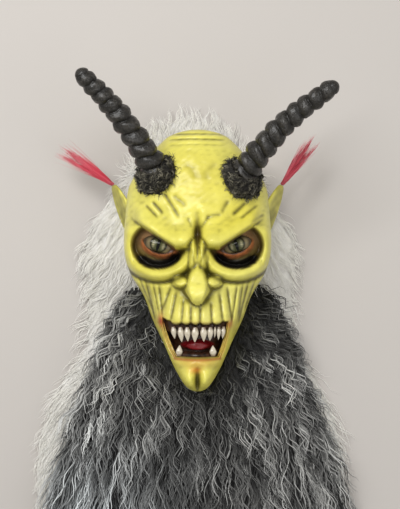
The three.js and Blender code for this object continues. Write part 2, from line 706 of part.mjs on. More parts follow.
// The way in for a head: an arch from inside the shell, under the chin, to past the mantle's hem
const NECK_FROM_Y = -95;
const NECK_STEPS = 6;
const NECK_SIDES = 16;
const NECK_HALF_WIDTH = 72;
const NECK_HEM_HALF_WIDTH = 118;
const NECK_HEIGHT = 62;
const NECK_HEM_HEIGHT = 24;
function neckSolid() {
  const rings = Array.from({ length: NECK_STEPS + 1 }, (_, k) => {
    const t = k / NECK_STEPS;
    const y = mix(NECK_FROM_Y, MANTLE_HEM_Y - 15, t);
    const wide = mix(NECK_HALF_WIDTH, NECK_HEM_HALF_WIDTH, t);
    const high = mix(NECK_HEIGHT, NECK_HEM_HEIGHT, step(0.2, 1, t));
    return Array.from({ length: NECK_SIDES }, (_, i) => {
      const angle = (2 * Math.PI * i) / NECK_SIDES;
      const z = HOOD_THICKNESS + (Math.sin(angle) > 0 ? high : 6) * Math.sin(angle);
      return new THREE.Vector3(wide * Math.cos(angle), y, z);
    });
  });
  return loft(rings);
}

// Slots under the eyes, which the wearer looks through
const SLOT = { from: 1.34, to: 1.86, ring: 0.86 };
function visionSlot(sign) {
  const [cx, cy] = onFace(sign * SOCKET.x, SOCKET.y);
  const half = VISION_SLOT_HEIGHT / 2;
  const shape = new THREE.Shape();
  const arc = (offset, k) => {
    const angle = Math.PI * mix(SLOT.from, SLOT.to, k / 8);
    const rx = SOCKET.rx * acrossScale * SLOT.ring + offset;
    const ry = SOCKET.ry * alongScale * SLOT.ring + offset;
    return [cx - sign * rx * Math.cos(angle), cy + ry * Math.sin(angle)];
  };
  for (let k = 0; k <= 8; k++) k ? shape.lineTo(...arc(half, k)) : shape.moveTo(...arc(half, k));
  for (let k = 8; k >= 0; k--) shape.lineTo(...arc(-half, k));
  const cut = new THREE.ExtrudeGeometry(shape, { depth: 100, bevelEnabled: false });
  cut.translate(0, 0, 70);
  return solidOf(cut);
}

// Putting the pieces together
const head = filledHead(outerGrid, RIM_Z);
const seat = filledHead(movedGrid(outerGrid, SEAT_GAP), HOOD_THICKNESS + SEAT_GAP / 2);
const wallGrid = gridOf(SHARE_LINES, [-2, -1, -0.3, 0.3, 1, 2], (a, s) => headPoint(a, s, () => 0));
const furSeat = filledHead(movedGrid(wallGrid, FUR_GAP), HOOD_THICKNESS + SEAT_GAP / 2);
const hornGrid = gridOf(everySecond(SHARE_LINES), ACROSS_LINES, (a, s) => headPoint(a, s, relief));
const hornSeat = filledHead(movedGrid(hornGrid, FUR_GAP), HOOD_THICKNESS);
const cavity = filledHead(innerGrid, HOOD_THICKNESS);
const neck = neckSolid();

function shellWithEars() {
  let shell = head;
  for (const sign of [-1, 1]) shell = shell.add(earSolid(sign, 0));
  shell = shell.subtract(cavity).subtract(neck);
  for (const sign of [-1, 1]) shell = shell.subtract(visionSlot(sign));
  return largestOf(shell);
}

const mask = new THREE.Group();
function addPiece(name, solid, color, roughness, metalness = 0) {
  const mesh = new THREE.Mesh(geometryOf(solid), new THREE.MeshStandardMaterial({ color, roughness, metalness }));
  mesh.name = name;
  mask.add(mesh);
}

addPiece("face_shell", shellWithEars(), 0xe6df58, 0.4);
for (const side of ["left", "right"]) {
  const sign = side === "left" ? -1 : 1;
  addPiece("horn_" + side, largestOf(hornSolid(side).subtract(hornSeat)), 0x35332f, 0.45);
  addPiece("horn_cuff_" + side, largestOf(cuffSolid(side).subtract(cuffHole(side)).subtract(hornSeat)), 0x2b2924, 0.9);
  addPiece("ear_tuft_" + side, tuftSolid(side), 0xd9657a, 0.8);
  addPiece("eye_" + side, eyeSolid(sign, seat), 0x8d9167, 0.12);
  const fang = FANGS[side];
  addPiece(
    "lower_fang_" + side,
    toothSolid(gumPoint(fang.x, LOWER_ROOT_Y), fang.lean, FANG_LENGTH, FANG_WIDTH, 1, seat),
    0xe9e4d6,
    0.35,
  );
}
UPPER_TEETH.forEach(({ x, lean, length, width }, i) => {
  const root = gumPoint(x, UPPER_ROOT_Y);
  const tooth = toothSolid(root, lean, TOOTH_LENGTH * length, TOOTH_WIDTH * width, -1, seat);
  addPiece("upper_tooth_" + (i + 1), tooth, 0xe9e4d6, 0.35);
});
const hood = largestOf(hoodBody(0).subtract(furSeat).subtract(earSolid(-1, EAR_GAP)).subtract(earSolid(1, EAR_GAP)));
addPiece("white_fur_hood", hood, 0xe4e0d4, 0.95);
const mantle = fieldSolid(MANTLE_ROWS, MANTLE_COLUMNS, mantleHalfWidth, () => 0, mantleTop, HOOD_EDGE);
addPiece("grey_fur_mantle", largestOf(mantle.subtract(hoodBody(SEAT_GAP)).subtract(furSeat).subtract(neck)), 0x5d5f5f, 0.95);

export default mask;
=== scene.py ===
"""A horned demon mask with fur, lying on its back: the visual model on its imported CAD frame."""

import math

import bmesh
import bpy
import numpy as np
from bpy.props import FloatProperty, FloatVectorProperty, IntProperty, PointerProperty
from mathutils import Matrix, Vector


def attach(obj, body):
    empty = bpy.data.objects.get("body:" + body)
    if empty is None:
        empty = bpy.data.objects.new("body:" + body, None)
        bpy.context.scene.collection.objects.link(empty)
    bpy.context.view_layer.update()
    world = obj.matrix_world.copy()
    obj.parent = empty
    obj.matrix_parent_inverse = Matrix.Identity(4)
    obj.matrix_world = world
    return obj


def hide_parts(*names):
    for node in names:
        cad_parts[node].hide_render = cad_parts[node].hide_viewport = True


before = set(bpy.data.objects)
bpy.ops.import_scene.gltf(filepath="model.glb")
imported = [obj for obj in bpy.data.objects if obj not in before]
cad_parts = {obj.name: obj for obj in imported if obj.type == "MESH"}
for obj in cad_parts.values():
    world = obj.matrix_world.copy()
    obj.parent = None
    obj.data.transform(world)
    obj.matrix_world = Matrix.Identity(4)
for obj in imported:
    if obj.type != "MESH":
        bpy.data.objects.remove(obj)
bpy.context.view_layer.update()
MM = 0.001

bl_info = {
    "name": "Horned Demon Mask",
    "version": (1, 0, 0),
    "blender": (4, 5, 0),
    "location": "3D View > Sidebar > Demon Mask",
    "description": "Builds a horned demon mask with fur over its packed CAD frame",
    "category": "Add Mesh",
}


# Sizes that the CAD source has too, in millimetres

FACE_WIDTH = 218
FACE_LENGTH = 380
CROWN_Y = 170
SHELL_WALL = 4.5
RIM_Z = 24.4
HORN_ROOT_RADIUS = 20.5
HORN_TIP_RADIUS = 10.5
HORN_BURIED = 0.16

SIDES = (("left", -1), ("right", 1))


# Shape functions, in millimetres


def step(start, end, t):
    """Ease from 0 at start to 1 at end."""
    s = np.clip((t - start) / (end - start), 0, 1)
    return s * s * (3 - 2 * s)


def bell(offset, width):
    return np.exp(-((offset / width) ** 2))


def bump(dx, dy, rx, ry):
    return np.exp(-((dx / rx) ** 2) - (dy / ry) ** 2)


def mix(a, b, t):
    return a + (b - a) * t


def laid(color, paint, amount):
    """Lay a paint over colours, by an amount of 0 to 1 for each point."""
    return color + (np.asarray(paint) - color) * np.clip(amount, 0, 1)[:, None]


def curve_through(pairs):
    """Give the smooth function of place through (place, value) pairs."""
    place = np.array([p[0] for p in pairs], float)
    value = np.array([p[1] for p in pairs], float)
    last = len(pairs) - 1
    before = np.maximum(np.arange(last + 1) - 1, 0)
    after = np.minimum(np.arange(last + 1) + 1, last)
    slope = (value[after] - value[before]) / (place[after] - place[before])

    def at(x):
        x = np.asarray(x, float)
        i = np.clip(np.searchsorted(place, x, side="left") - 1, 0, last - 1)
        width = place[i + 1] - place[i]
        t = np.clip((x - place[i]) / width, 0, 1)
        t2, t3 = t * t, t * t * t
        return (
            (2 * t3 - 3 * t2 + 1) * value[i]
            + (t3 - 2 * t2 + t) * width * slope[i]
            + (3 * t2 - 2 * t3) * value[i + 1]
            + (t3 - t2) * width * slope[i + 1]
        )

    return at


def ripple(x, y, z, size, seed=0):
    """Give smooth even noise between about -1 and 1, with lumps of the given size."""
    rng = np.random.default_rng(seed)
    total = 0
    for _ in range(9):
        way = rng.normal(size=3)
        way /= np.linalg.norm(way)
        pitch = rng.uniform(0.7, 1.5) * 2 * math.pi / size
        total = total + np.sin((x * way[0] + y * way[1] + z * way[2]) * pitch + rng.uniform(0, 6.28))
    return total / 3.2


def groove(x, y, line, share=1):
    """Give 1 on a groove's line, fading to 0 over a share of its width and at its ends."""
    ax, ay, bx, by, width, _ = line
    dx, dy = bx - ax, by - ay
    length = math.hypot(dx, dy)
    along = ((x - ax) * dx + (y - ay) * dy) / length**2
    across = ((x - ax) * dy - (y - ay) * dx) / length
    inside = step(-0.12, 0.2, along) * step(1.12, 0.8, along)
    return bell(across, width * share) * inside


def cut_grooves(height, x, y, lines):
    """Lower a relief along grooves, each by its depth."""
    for line in lines:
        height = height - line[DEPTH] * groove(x, y, line)
    return height


# The head's main form, close to the CAD source

outline_share = curve_through([
    (0, 0), (0.055, 0.2), (0.105, 0.385), (0.142, 0.48), (0.2235, 0.69), (0.305, 0.915), (0.36, 0.965),
    (0.4745, 1), (0.5325, 0.925), (0.5925, 0.73), (0.655, 0.605), (0.725, 0.45), (0.813, 0.3), (0.875, 0.2),
    (0.93, 0.12), (1, 0),
])
edge_height = curve_through([(0, 95), (0.2, 88), (0.45, 80), (0.6, 84), (0.75, 98), (0.9, 118), (1, 134)])
face_lift = curve_through([
    (0, 0), (0.055, 18), (0.105, 34), (0.18, 56), (0.265, 75), (0.348, 87), (0.413, 95), (0.4745, 92),
    (0.5325, 86), (0.577, 84), (0.63, 86), (0.705, 76), (0.775, 62), (0.845, 48),
    (0.91, 30), (0.96, 15), (1, 0),
])
nose_half_width = curve_through([
    (-85, 1), (-82, 7.5), (-77, 13), (-70, 18), (-62, 22), (-54, 21.5), (-45, 17), (-36, 14.5),
    (-28, 14), (-18, 13), (10, 9),
])
nose_height = curve_through([
    (-86, 0), (-83, 16), (-78, 34), (-69, 44), (-52, 38), (-26, 25), (0, 14), (16, 0),
])

EYE_X, EYE_Y, EYE_TILT = 54, 0, 0.29
SOCKET_X, SOCKET_Y, SOCKET_RX, SOCKET_RY = 56, -1, 39, 33
MOUTH_TOP, MOUTH_FOOT = -111, -160

# Rows of grooves: x and y of the upper and the lower end, width and depth
DEPTH = 5
MUZZLE_GROOVES = [
    (-29.4, -65.9, -38.2, -110, 3.2, 3.6), (-19.3, -76, -22.5, -112, 2.8, 3),
    (-9.2, -84, -9.2, -114, 3, 3.6), (4.1, -86, 3.4, -115, 3, 3.8),
    (18.5, -80, 20.5, -113, 2.8, 3.4), (31, -69, 36, -111, 3.2, 3.4),
]
CHEEK_GROOVES = [
    (-84, -48, -66, -92, 2.6, 2.6), (-74.7, -50.8, -60.5, -108, 2.8, 3.8),
    (-63.4, -56, -54.5, -98, 2.2, 2.6), (-54.6, -57, -49.5, -101, 2.6, 3.6),
    (-37, -58, -49.5, -92, 3, 3.6), (42, -60, 48.5, -108, 3, 3.8),
    (57, -56, 48, -112, 2.4, 3), (65, -55.9, 58, -104, 2.6, 3.2),
    (73.5, -52, 58.5, -112, 2.8, 3.8), (84, -49, 68, -94, 2.4, 2.6),
]
BRIDGE_GROOVES = [
    (-8, -6, -4, -28, 2.6, 1.8), (11.5, -4, 4, -27, 2.8, 2.8),
    (2.5, -2, 5, -14, 2.2, 2), (15.5, -14, 14.5, -42, 2.2, 1.6),
]
KNOB_CREASES = [
    (4.5, 22, 16, 40, 3, 3), (13, 39, 33, 43, 3.4, 2),
    (-7, 24, -14, 38, 3.4, 2),
]
FOREHEAD_GROOVES = [
    (-19, 118, 1.5, 95, 6, 1.3), (27, 118, 8, 95, 6, 1.3),
    (-8, 95, 18, 95, 4.5, 0.9),
]


def round_place(share):
    return np.arccos(1 - 2 * np.clip(share, 0, 1)) / math.pi


def brow_edge(x):
    return -6 + 0.66 * np.maximum(0, x - 30)


def inside_mouth(x, y):
    """Give how far a place lies inside the mouth's outline: a raised left corner and a scalloped upper lip."""
    t = np.clip((MOUTH_TOP - y) / (MOUTH_TOP - MOUTH_FOOT), 0, 1)
    half = mix(np.where(x < 0, 50.5, 44.5), 31, t * t * 0.5 + t * 0.5)
    top = MOUTH_TOP + 8 * step(-33, -50, x) + 2.5 * step(26, 42, x)
    for _, _, foot_x, *_ in MUZZLE_GROOVES:
        top = top + 2.0 * bell(x - foot_x, 3.2)
    return np.minimum(np.minimum(half - np.abs(x), top + 1.5 - y), y - MOUTH_FOOT)


def eye_place(x, y):
    """Give a place along and across the slanted eye, from its middle."""
    c, s = math.cos(EYE_TILT), math.sin(EYE_TILT)
    return c * (x - EYE_X) + s * (y - EYE_Y), -s * (x - EYE_X) + c * (y - EYE_Y)


def socket_ring(x, y):
    return np.hypot((x - SOCKET_X) / SOCKET_RX, (y - SOCKET_Y) / SOCKET_RY)


def socket_relief(x, y):
    e = socket_ring(x, y)
    edge = brow_edge(x)
    p, q = eye_place(x, y)
    lids = 1 - step(0.62, 1.05, np.hypot(p / 31, q / 19))
    hollow = 1 - step(0.85, 1.075, e)
    bag = bell(e - 1.27, 0.2) * step(14, -6, y - edge * 0.5)
    crease = bell(e - 1.6, 0.1) * step(-20, -34, y)
    return step(0, 5, edge - y) * hollow * (15 * lids - 25) + 10 * bag - 7 * crease


def brow_roll(x, y):
    """Give how far above the brow's edge a place lies, and the share of the brow's roll there."""
    above = y - brow_edge(x)
    return above, step(-1, 5, above) * (1 - step(5, 35, above))


def brow_relief(x, y):
    above, roll = brow_roll(x, y)
    inward = step(10, 22, x) * (1 - step(76, 98, x))
    knob = 9 * bump(x - 31, y - 9, 17, 17) * step(-1, 5, above)
    return 17 * roll * inward + knob - 13 * bump(x, y - 12, 5.5, 26)


def nose_relief(x, y):
    """Give the drooping nose: a narrow bridge, a heavy round tip and two round wings."""
    ridge = nose_height(y) * (1 - step(0.46, 1.05, x / nose_half_width(y)))
    wing = 31 * (1 - step(0.4, 1.1, np.hypot((x - 23) / 14, (y + 52) / 10.5)))
    both = (ridge + wing + np.sqrt((ridge - wing) ** 2 + 144) - 12) / 2
    return both - 4 * bump(x - 12, y + 75, 4, 4)


def mouth_relief(x_signed, y):
    x = np.abs(x_signed)
    band = np.maximum(1 - step(12, 16, MOUTH_TOP - y), 1 - step(6, 9, y - MOUTH_FOOT))
    tongue = 12 * (1 - step(0.6, 1, np.hypot(x / 23, (y + 143) / 7.5)))
    deep = mix(30, 11, band) - tongue * (1 - band)
    muzzle = 9 * bump(x, y + 99, 54, 19)
    return muzzle + 5 * bump(x, y + 166, 34, 6) - deep * step(0, 3.5, inside_mouth(x_signed, y))


def chin_relief(x, y):
    return 14 * bump(x - 14, y + 188, 11, 16) - 7.5 * bump(x, y + 192, 5, 16)


def fold_relief(x, y):
    crown = bump(0, y - 156, 1, 16) * np.cos(2 * math.pi * (y - 156) / 9)
    return 1.7 * crown * (1 - step(30, 48, x))


def carved(x_signed, y):
    x = np.abs(x_signed)
    upper = socket_relief(x, y) + brow_relief(x, y) + nose_relief(x, y)
    return upper + mouth_relief(x_signed, y) + chin_relief(x, y) + fold_relief(x, y)


FROWN_LINES = [
    (-73.6, 56.6, -56.3, 38.5, 2.4, 2), (-63.6, 60.8, -48.7, 44.1, 2.8, 3.4),
    (-47.4, 73.3, -26.2, 39.3, 2.8, 2.8), (-34, 69.1, -16.3, 53.8, 4, 1.8),
    (43.5, 62.2, 33.4, 44.1, 3.4, 2.4), (68.3, 59.4, 49.6, 41.8, 3, 3.4),
    (85.8, 56.6, 60.8, 37.1, 2.8, 2.6), (95.6, 44, 76.1, 31.5, 2.6, 2),
]


def fine_relief(x_signed, y):
    """Give the modelling that only the visual face has: frown lines, lids, wrinkles, folds and lumps."""
    x = np.abs(x_signed)
    lines = FROWN_LINES + MUZZLE_GROOVES + CHEEK_GROOVES + BRIDGE_GROOVES + FOREHEAD_GROOVES
    total = cut_grooves(0, x_signed, y, lines)
    above, roll = brow_roll(x, y)
    lobe = (step(2, 8, x) - step(10, 22, x)) * step(0, 7, y + 6 - 1.2 * np.maximum(0, 17 - x))
    total = total + 17 * roll * lobe - 4 * bump(x_signed - 1, y - 14, 5, 16)
    total = total + 9 * bump(x - 19, y - 8, 12, 14) * step(-3, 3, above)
    total = total + 4 * bump(x - 10, y + 196, 6, 9) - 4 * bump(x_signed, y + 197, 3.4, 10)
    p, q = eye_place(x, y)
    lid = np.abs(q) - 11.5 * (1 - np.clip(p / 25, -1, 1) ** 2) - 1.5
    total = total + 4.2 * bell(lid - 1.5, 2.6) * step(31, 25, np.abs(p)) * step(7, 1, q)
    total = cut_grooves(total, x_signed, y, KNOB_CREASES)
    e = socket_ring(x, y)
    slit = bell(e - 0.86, 0.07) * step(-9, -14, y) * step(24, 30, x) * step(90, 82, x)
    total = total - 9 * slit
    crow = np.hypot((x - 100) / 10, (y + 14) / 16)
    total = total - 2.2 * bell(crow - 1, 0.3) * step(98, 92, x)
    total = total + 0.25 * ripple(x_signed, y, 0 * y, 9, 3) + 0.8 * ripple(x_signed, y, 0 * y, 30, 4)
    return total


def head_surface(x, y, fine=False):
    """Give the height of the head's surface over places on the face, with the fine modelling if asked."""
    share = np.clip((CROWN_Y - y) / FACE_LENGTH, 0, 1)
    place = round_place(share)
    sine = np.minimum(1, np.abs(x) / np.maximum(1e-6, FACE_WIDTH / 2 * outline_share(place)))
    cosine = np.sqrt(1 - sine * sine)
    fade = step(0, 0.45, cosine) * step(0, 0.03, share) * step(1, 0.97, share)
    relief = carved(x, y) + (fine_relief(x, y) if fine else 0)
    return edge_height(share) + face_lift(place) * cosine**0.86 + relief * fade


def surface_at(x, y):
    return float(head_surface(np.array([float(x)]), np.array([float(y)]))[0])


# Curves and lofts


def smooth_curve(points):
    """Give a function of 0 to 1 along a centripetal curve through points."""
    points = [np.array(p, float) for p in points]
    ends = [2 * points[0] - points[1], *points, 2 * points[-1] - points[-2]]

    def at(t):
        place = min(max(t, 0), 1) * (len(points) - 1)
        i = min(int(place), len(points) - 2)
        w = place - i
        p = ends[i : i + 4]
        d = [max(np.sum((p[k + 1] - p[k]) ** 2) ** 0.25, 1e-4) for k in range(3)]
        m1 = ((p[1] - p[0]) / d[0] - (p[2] - p[0]) / (d[0] + d[1]) + (p[2] - p[1]) / d[1]) * d[1]
        m2 = ((p[2] - p[1]) / d[1] - (p[3] - p[1]) / (d[1] + d[2]) + (p[3] - p[2]) / d[2]) * d[1]
        c2 = -3 * p[1] + 3 * p[2] - 2 * m1 - m2
        c3 = 2 * p[1] - 2 * p[2] + m1 + m2
        return p[1] + m1 * w + c2 * w * w + c3 * w**3

    return at


def rings_along(curve, places, sides, sideways, size):
    """Give rings of points along a curve. size(t, angles) gives offsets across and over it."""
    rings = []
    angles = np.linspace(0, 2 * math.pi, sides, endpoint=False)
    for t in places:
        along = curve(min(t + 0.002, 1)) - curve(max(t - 0.002, 0))
        along /= np.linalg.norm(along)
        wide = np.array(sideways, float)
        wide -= along * wide.dot(along)
        wide /= np.linalg.norm(wide)
        thick = np.cross(along, wide)
        w, h = size(t, angles)
        rings.append(curve(t) + np.outer(w, wide) + np.outer(h, thick))
    return np.array(rings)


def new_object(name, data):
    made = bpy.data.objects.new(name, data)
    bpy.context.scene.collection.objects.link(made)
    return made


def weld(mesh, outward=False):
    """Join a mesh's points that coincide and, if asked, turn its faces outwards."""
    shape = bmesh.new()
    shape.from_mesh(mesh)
    bmesh.ops.remove_doubles(shape, verts=shape.verts, dist=1e-6)
    if outward:
        bmesh.ops.recalc_face_normals(shape, faces=shape.faces)
    shape.to_mesh(mesh)
    shape.free()


def mesh_object(name, points, faces, material):
    """Make an object from points in millimetres and faces, with normals out and smooth shading."""
    mesh = bpy.data.meshes.new(name)
    mesh.from_pydata((np.asarray(points) * MM).tolist(), [], faces)
    mesh.update()
    weld(mesh, outward=True)
    mesh.shade_smooth()
    mesh.materials.append(material)
    return new_object(name, mesh)


def loft_object(name, rings, material):
    """Close a stack of rings into a solid."""
    count, sides = rings.shape[:2]
    points = list(rings.reshape(-1, 3)) + [rings[0].mean(axis=0), rings[-1].mean(axis=0)]
    faces = [
        (r * sides + i, r * sides + (i + 1) % sides, (r + 1) * sides + (i + 1) % sides, (r + 1) * sides + i)
        for r in range(count - 1)
        for i in range(sides)
    ]
    foot, top = count * sides, count * sides + 1
    last = (count - 1) * sides
    faces += [(foot, (i + 1) % sides, i) for i in range(sides)]
    faces += [(top, last + i, last + (i + 1) % sides) for i in range(sides)]
    return mesh_object(name, points, faces, material)


def point_values(made, field):
    values = np.empty(len(made.data.vertices) * 3)
    made.data.vertices.foreach_get(field, values)
    return values.reshape(-1, 3)


def corner_array(made):
    """Give a mesh's points in millimetres."""
    return point_values(made, "co") / MM


def unit_rows(vectors):
    return vectors / np.maximum(np.linalg.norm(vectors, axis=1, keepdims=True), 1e-6)


def give_attribute(made, name, kind, values):
    """Store a number, vector or colour for each point of a mesh."""
    old = made.data.attributes.get(name)
    if old:
        made.data.attributes.remove(old)
    layer = made.data.attributes.new(name, kind, "POINT")
    field = {"FLOAT": "value", "FLOAT_VECTOR": "vector", "FLOAT_COLOR": "color"}[kind]
    values = np.asarray(values, float)
    if kind == "FLOAT_COLOR" and values.shape[-1] == 3:
        values = np.concatenate([values, np.ones((len(values), 1))], axis=1)
    layer.data.foreach_set(field, values.astype(np.float32).ravel())


def applied(made):
    """Turn an object's modifiers into its plain mesh."""
    graph = bpy.context.evaluated_depsgraph_get()
    mesh = bpy.data.meshes.new_from_object(made.evaluated_get(graph))
    made.modifiers.clear()
    made.data = mesh
    return made


def cad_copy(node, name, material, voxel):
    """Copy a CAD node as one even closed mesh with its own material, in voxels of the given size."""
    made = new_object(name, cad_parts[node].data.copy())
    weld(made.data)
    remesh = made.modifiers.new("Even mesh", "REMESH")
    remesh.mode = "VOXEL"
    remesh.voxel_size = voxel * MM
    remesh.use_smooth_shade = True
    applied(made)
    made.data.materials.clear()
    made.data.materials.append(material)
    return made


def place_corners(made, points):
    """Move a mesh's points to places in millimetres."""
    made.data.vertices.foreach_set("co", (points * MM).ravel())
    made.data.update()


def settle(made, node=None):
    """Let a finished piece ride on the mask and in place of its CAD node."""
    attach(made, "root")
    if node:
        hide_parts(node)


# Materials


class Recipe:
    """A node material under construction: short calls that add and join nodes."""

    def __init__(self, name):
        self.material = bpy.data.materials.new(name)
        self.material.use_nodes = True
        self.nodes = self.material.node_tree.nodes
        self.links = self.material.node_tree.links
        self.shader = self.nodes["Principled BSDF"]

    def add(self, kind, **settings):
        node = self.nodes.new(kind)
        for key, value in settings.items():
            setattr(node, key, value)
        return node

    def set(self, **sockets):
        for key, value in sockets.items():
            self.shader.inputs[key.replace("_", " ")].default_value = value

    def join(self, source, target):
        self.links.new(source, target)

    def attribute(self, name, output="Fac"):
        return self.add("ShaderNodeAttribute", attribute_name=name).outputs[output]

    def noise(self, scale, detail=4.0, rough=0.55, stretch=(1, 1, 1)):
        """Noise on object coordinates, in lumps per metre, stretched along an axis if asked."""
        place = self.add("ShaderNodeTexCoord")
        mapping = self.add("ShaderNodeMapping")
        mapping.inputs["Scale"].default_value = stretch
        node = self.add("ShaderNodeTexNoise")
        node.inputs["Scale"].default_value = scale
        node.inputs["Detail"].default_value = detail
        node.inputs["Roughness"].default_value = rough
        self.join(place.outputs["Object"], mapping.inputs["Vector"])
        self.join(mapping.outputs["Vector"], node.inputs["Vector"])
        return node.outputs["Fac"]

    def patches(self, scale, detail, *stops, **noise):
        """Noise spread over a ramp, for paint and gloss that vary."""
        return self.ramp(self.noise(scale, detail, **noise), stops)

    def ramp(self, fac, stops):
        node = self.add("ShaderNodeValToRGB")
        elements = node.color_ramp.elements
        while len(elements) < len(stops):
            elements.new(0.5)
        for element, (place, color) in zip(elements, stops):
            element.position = place
            element.color = (*color, 1) if not isinstance(color, (int, float)) else (color, color, color, 1)
        self.join(fac, node.inputs["Fac"])
        return node.outputs["Color"]

    def blend(self, kind, fac, a, b):
        node = self.add("ShaderNodeMix", data_type="RGBA", blend_type=kind)
        for socket, value in ((node.inputs[0], fac), (node.inputs[6], a), (node.inputs[7], b)):
            if isinstance(value, bpy.types.NodeSocket):
                self.join(value, socket)
            else:
                socket.default_value = value if isinstance(value, (int, float)) else (*value, 1)
        return node.outputs[2]

    def bump(self, *layers):
        """Stack bump layers of (height socket, strength, distance)."""
        last = None
        for height, strength, distance in layers:
            node = self.add("ShaderNodeBump")
            node.inputs["Strength"].default_value = strength
            node.inputs["Distance"].default_value = distance
            self.join(height, node.inputs["Height"])
            if last:
                self.join(last.outputs["Normal"], node.inputs["Normal"])
            last = node
        self.join(last.outputs["Normal"], self.shader.inputs["Normal"])

    def color(self, socket):
        self.join(socket, self.shader.inputs["Base Color"])

    def roughness(self, socket):
        self.join(socket, self.shader.inputs["Roughness"])


def painted_latex():
    """Hand-painted cast latex: mottled paint, fine skin grain, a satin sheen that varies."""
    r = Recipe("Painted latex")
    mottle = r.patches(60, 5, (0.3, 0.86), (0.7, 1.0))
    r.color(r.blend("MULTIPLY", 1.0, r.attribute("Paint", "Color"), mottle))
    r.roughness(r.patches(180, 3, (0.3, 0.3), (0.75, 0.46)))
    r.bump((r.noise(420, 3), 0.25, 0.0006), (r.noise(90, 4), 0.25, 0.0012))
    r.set(Specular_IOR_Level=0.36, Coat_Weight=0.12, Coat_Roughness=0.24)
    return r.material


def glossy_eye():
    r = Recipe("Glossy eye")
    r.color(r.attribute("Paint", "Color"))
    r.roughness(r.patches(300, 2, (0.3, 0.08), (0.7, 0.16)))
    r.bump((r.noise(500, 2), 0.05, 0.0003))
    r.set(Coat_Weight=0.15, Coat_Roughness=0.08, Specular_IOR_Level=0.16)
    return r.material


def stained_tooth():
    """Ivory resin, stained brown at the root and darkened on the flanks by painted shade, with faint growth
    lines.
    """
    r = Recipe("Stained tooth")
    grain = r.patches(900, 3, (0.3, 0.7), (0.7, 1.0))
    r.color(r.blend("MULTIPLY", 0.5, r.attribute("Paint", "Color"), grain))
    r.roughness(r.patches(700, 2, (0.3, 0.2), (0.7, 0.36)))
    r.bump((r.noise(800, 3, stretch=(1, 0.15, 1)), 0.25, 0.0004))
    r.set(Coat_Weight=0.4, Coat_Roughness=0.15)
    return r.material


def horn_lacquer(color):
    """Near-black lacquer with worn crests, pits and fine lengthwise grain."""
    r = Recipe("Horn lacquer")
    wear = r.attribute("Crest")
    patch = r.patches(110, 6, (0.42, 0.0), (0.78, 1.0), rough=0.65)
    dark = r.blend("MIX", patch, color, [c * 2.6 for c in color])
    crests = r.ramp(wear, [(0.72, 0.0), (1.05, 0.5)])
    worn = r.blend("MULTIPLY", 1.0, crests, r.patches(330, 5, (0.4, 0.0), (0.7, 1.0)))
    r.color(r.blend("MIX", worn, dark, (0.075, 0.066, 0.052)))
    r.roughness(r.patches(240, 4, (0.3, 0.2), (0.75, 0.42)))
    r.bump((r.noise(460, 6, 0.65), 0.8, 0.0014), (r.noise(120, 4), 0.6, 0.0025))
    r.set(Coat_Weight=0.3, Coat_Roughness=0.16, Specular_IOR_Level=0.35)
    return r.material


def hair(name, dark, light, tip, rough=0.55, root=0.3, sheen=0.0, lit_and_shaded=False):
    """Hair whose locks differ in tone, with painted shade darkening it towards the root, and paler towards the
    tip.
    """
    r = Recipe(name)
    shade = r.attribute("Shade")
    along = r.attribute("Along")
    dark, light = np.array(dark), np.array(light)
    strand = r.ramp(shade, [
        (0.2, dark), (0.5, mix(dark, light, 0.13)), (0.7, mix(dark, light, 0.4)), (0.85, light),
    ])
    strand = r.blend("MIX", r.ramp(along, [(0.4, 0.0), (1.0, 0.28)]), strand, tip)
    # Painted light and shade that the skin carries multiply the hair's colour.
    if lit_and_shaded:
        strand = r.blend("MULTIPLY", 1.0, strand, r.attribute("Tint", "Color"))
    # Painted shade: darker towards the root, where the strands shade each other.
    r.color(r.blend("MULTIPLY", 1.0, strand, r.ramp(along, [(0.0, root), (0.45, 1.0)])))
    r.roughness(r.patches(300, 2, (0.3, rough - 0.08), (0.7, rough + 0.08)))
    r.set(Specular_IOR_Level=0.4, Sheen_Weight=sheen, Sheen_Roughness=0.4)
    return r.material


def fur_ground(name, dark, light):
    """The dense underfur that shows between the strands."""
    r = Recipe(name)
    r.color(r.patches(260, 6, (0.3, dark), (0.75, light), rough=0.65, stretch=(1, 0.35, 1)))
    r.roughness(r.patches(200, 2, (0.3, 0.8), (0.7, 0.95)))
    r.bump((r.noise(320, 6, 0.7, (1, 0.3, 1)), 0.9, 0.006))
    return r.material


def studio_floor(color):
    r = Recipe("Pale floor")
    r.color(r.blend("MIX", r.patches(3, 3, (0.3, 0.0), (0.7, 1.0)), color, [c * 0.985 for c in color]))
    r.set(Roughness=0.9, Specular_IOR_Level=0.1)
    return r.material


# Hair made with Geometry Nodes


class Field:
    """A value in a geometry node tree. Arithmetic on it adds the math nodes."""

    def __init__(self, garden, socket, vector=False):
        self.garden, self.socket, self.vector = garden, socket, vector

    def joined(self, kind, first, second):
        add = self.garden.vector if self.vector else self.garden.math
        return add(kind, first, second)

    def __add__(self, other):
        return self.joined("ADD", self, other)

    def __radd__(self, other):
        return self.joined("ADD", other, self)

    def __sub__(self, other):
        return self.joined("SUBTRACT", self, other)

    def __rsub__(self, other):
        return self.joined("SUBTRACT", other, self)

    def __mul__(self, other):
        return self.joined("SCALE" if self.vector else "MULTIPLY", self, other)

    def __rmul__(self, other):
        return self.joined("MULTIPLY", other, self)

    def __pow__(self, other):
        return self.joined("POWER", self, other)


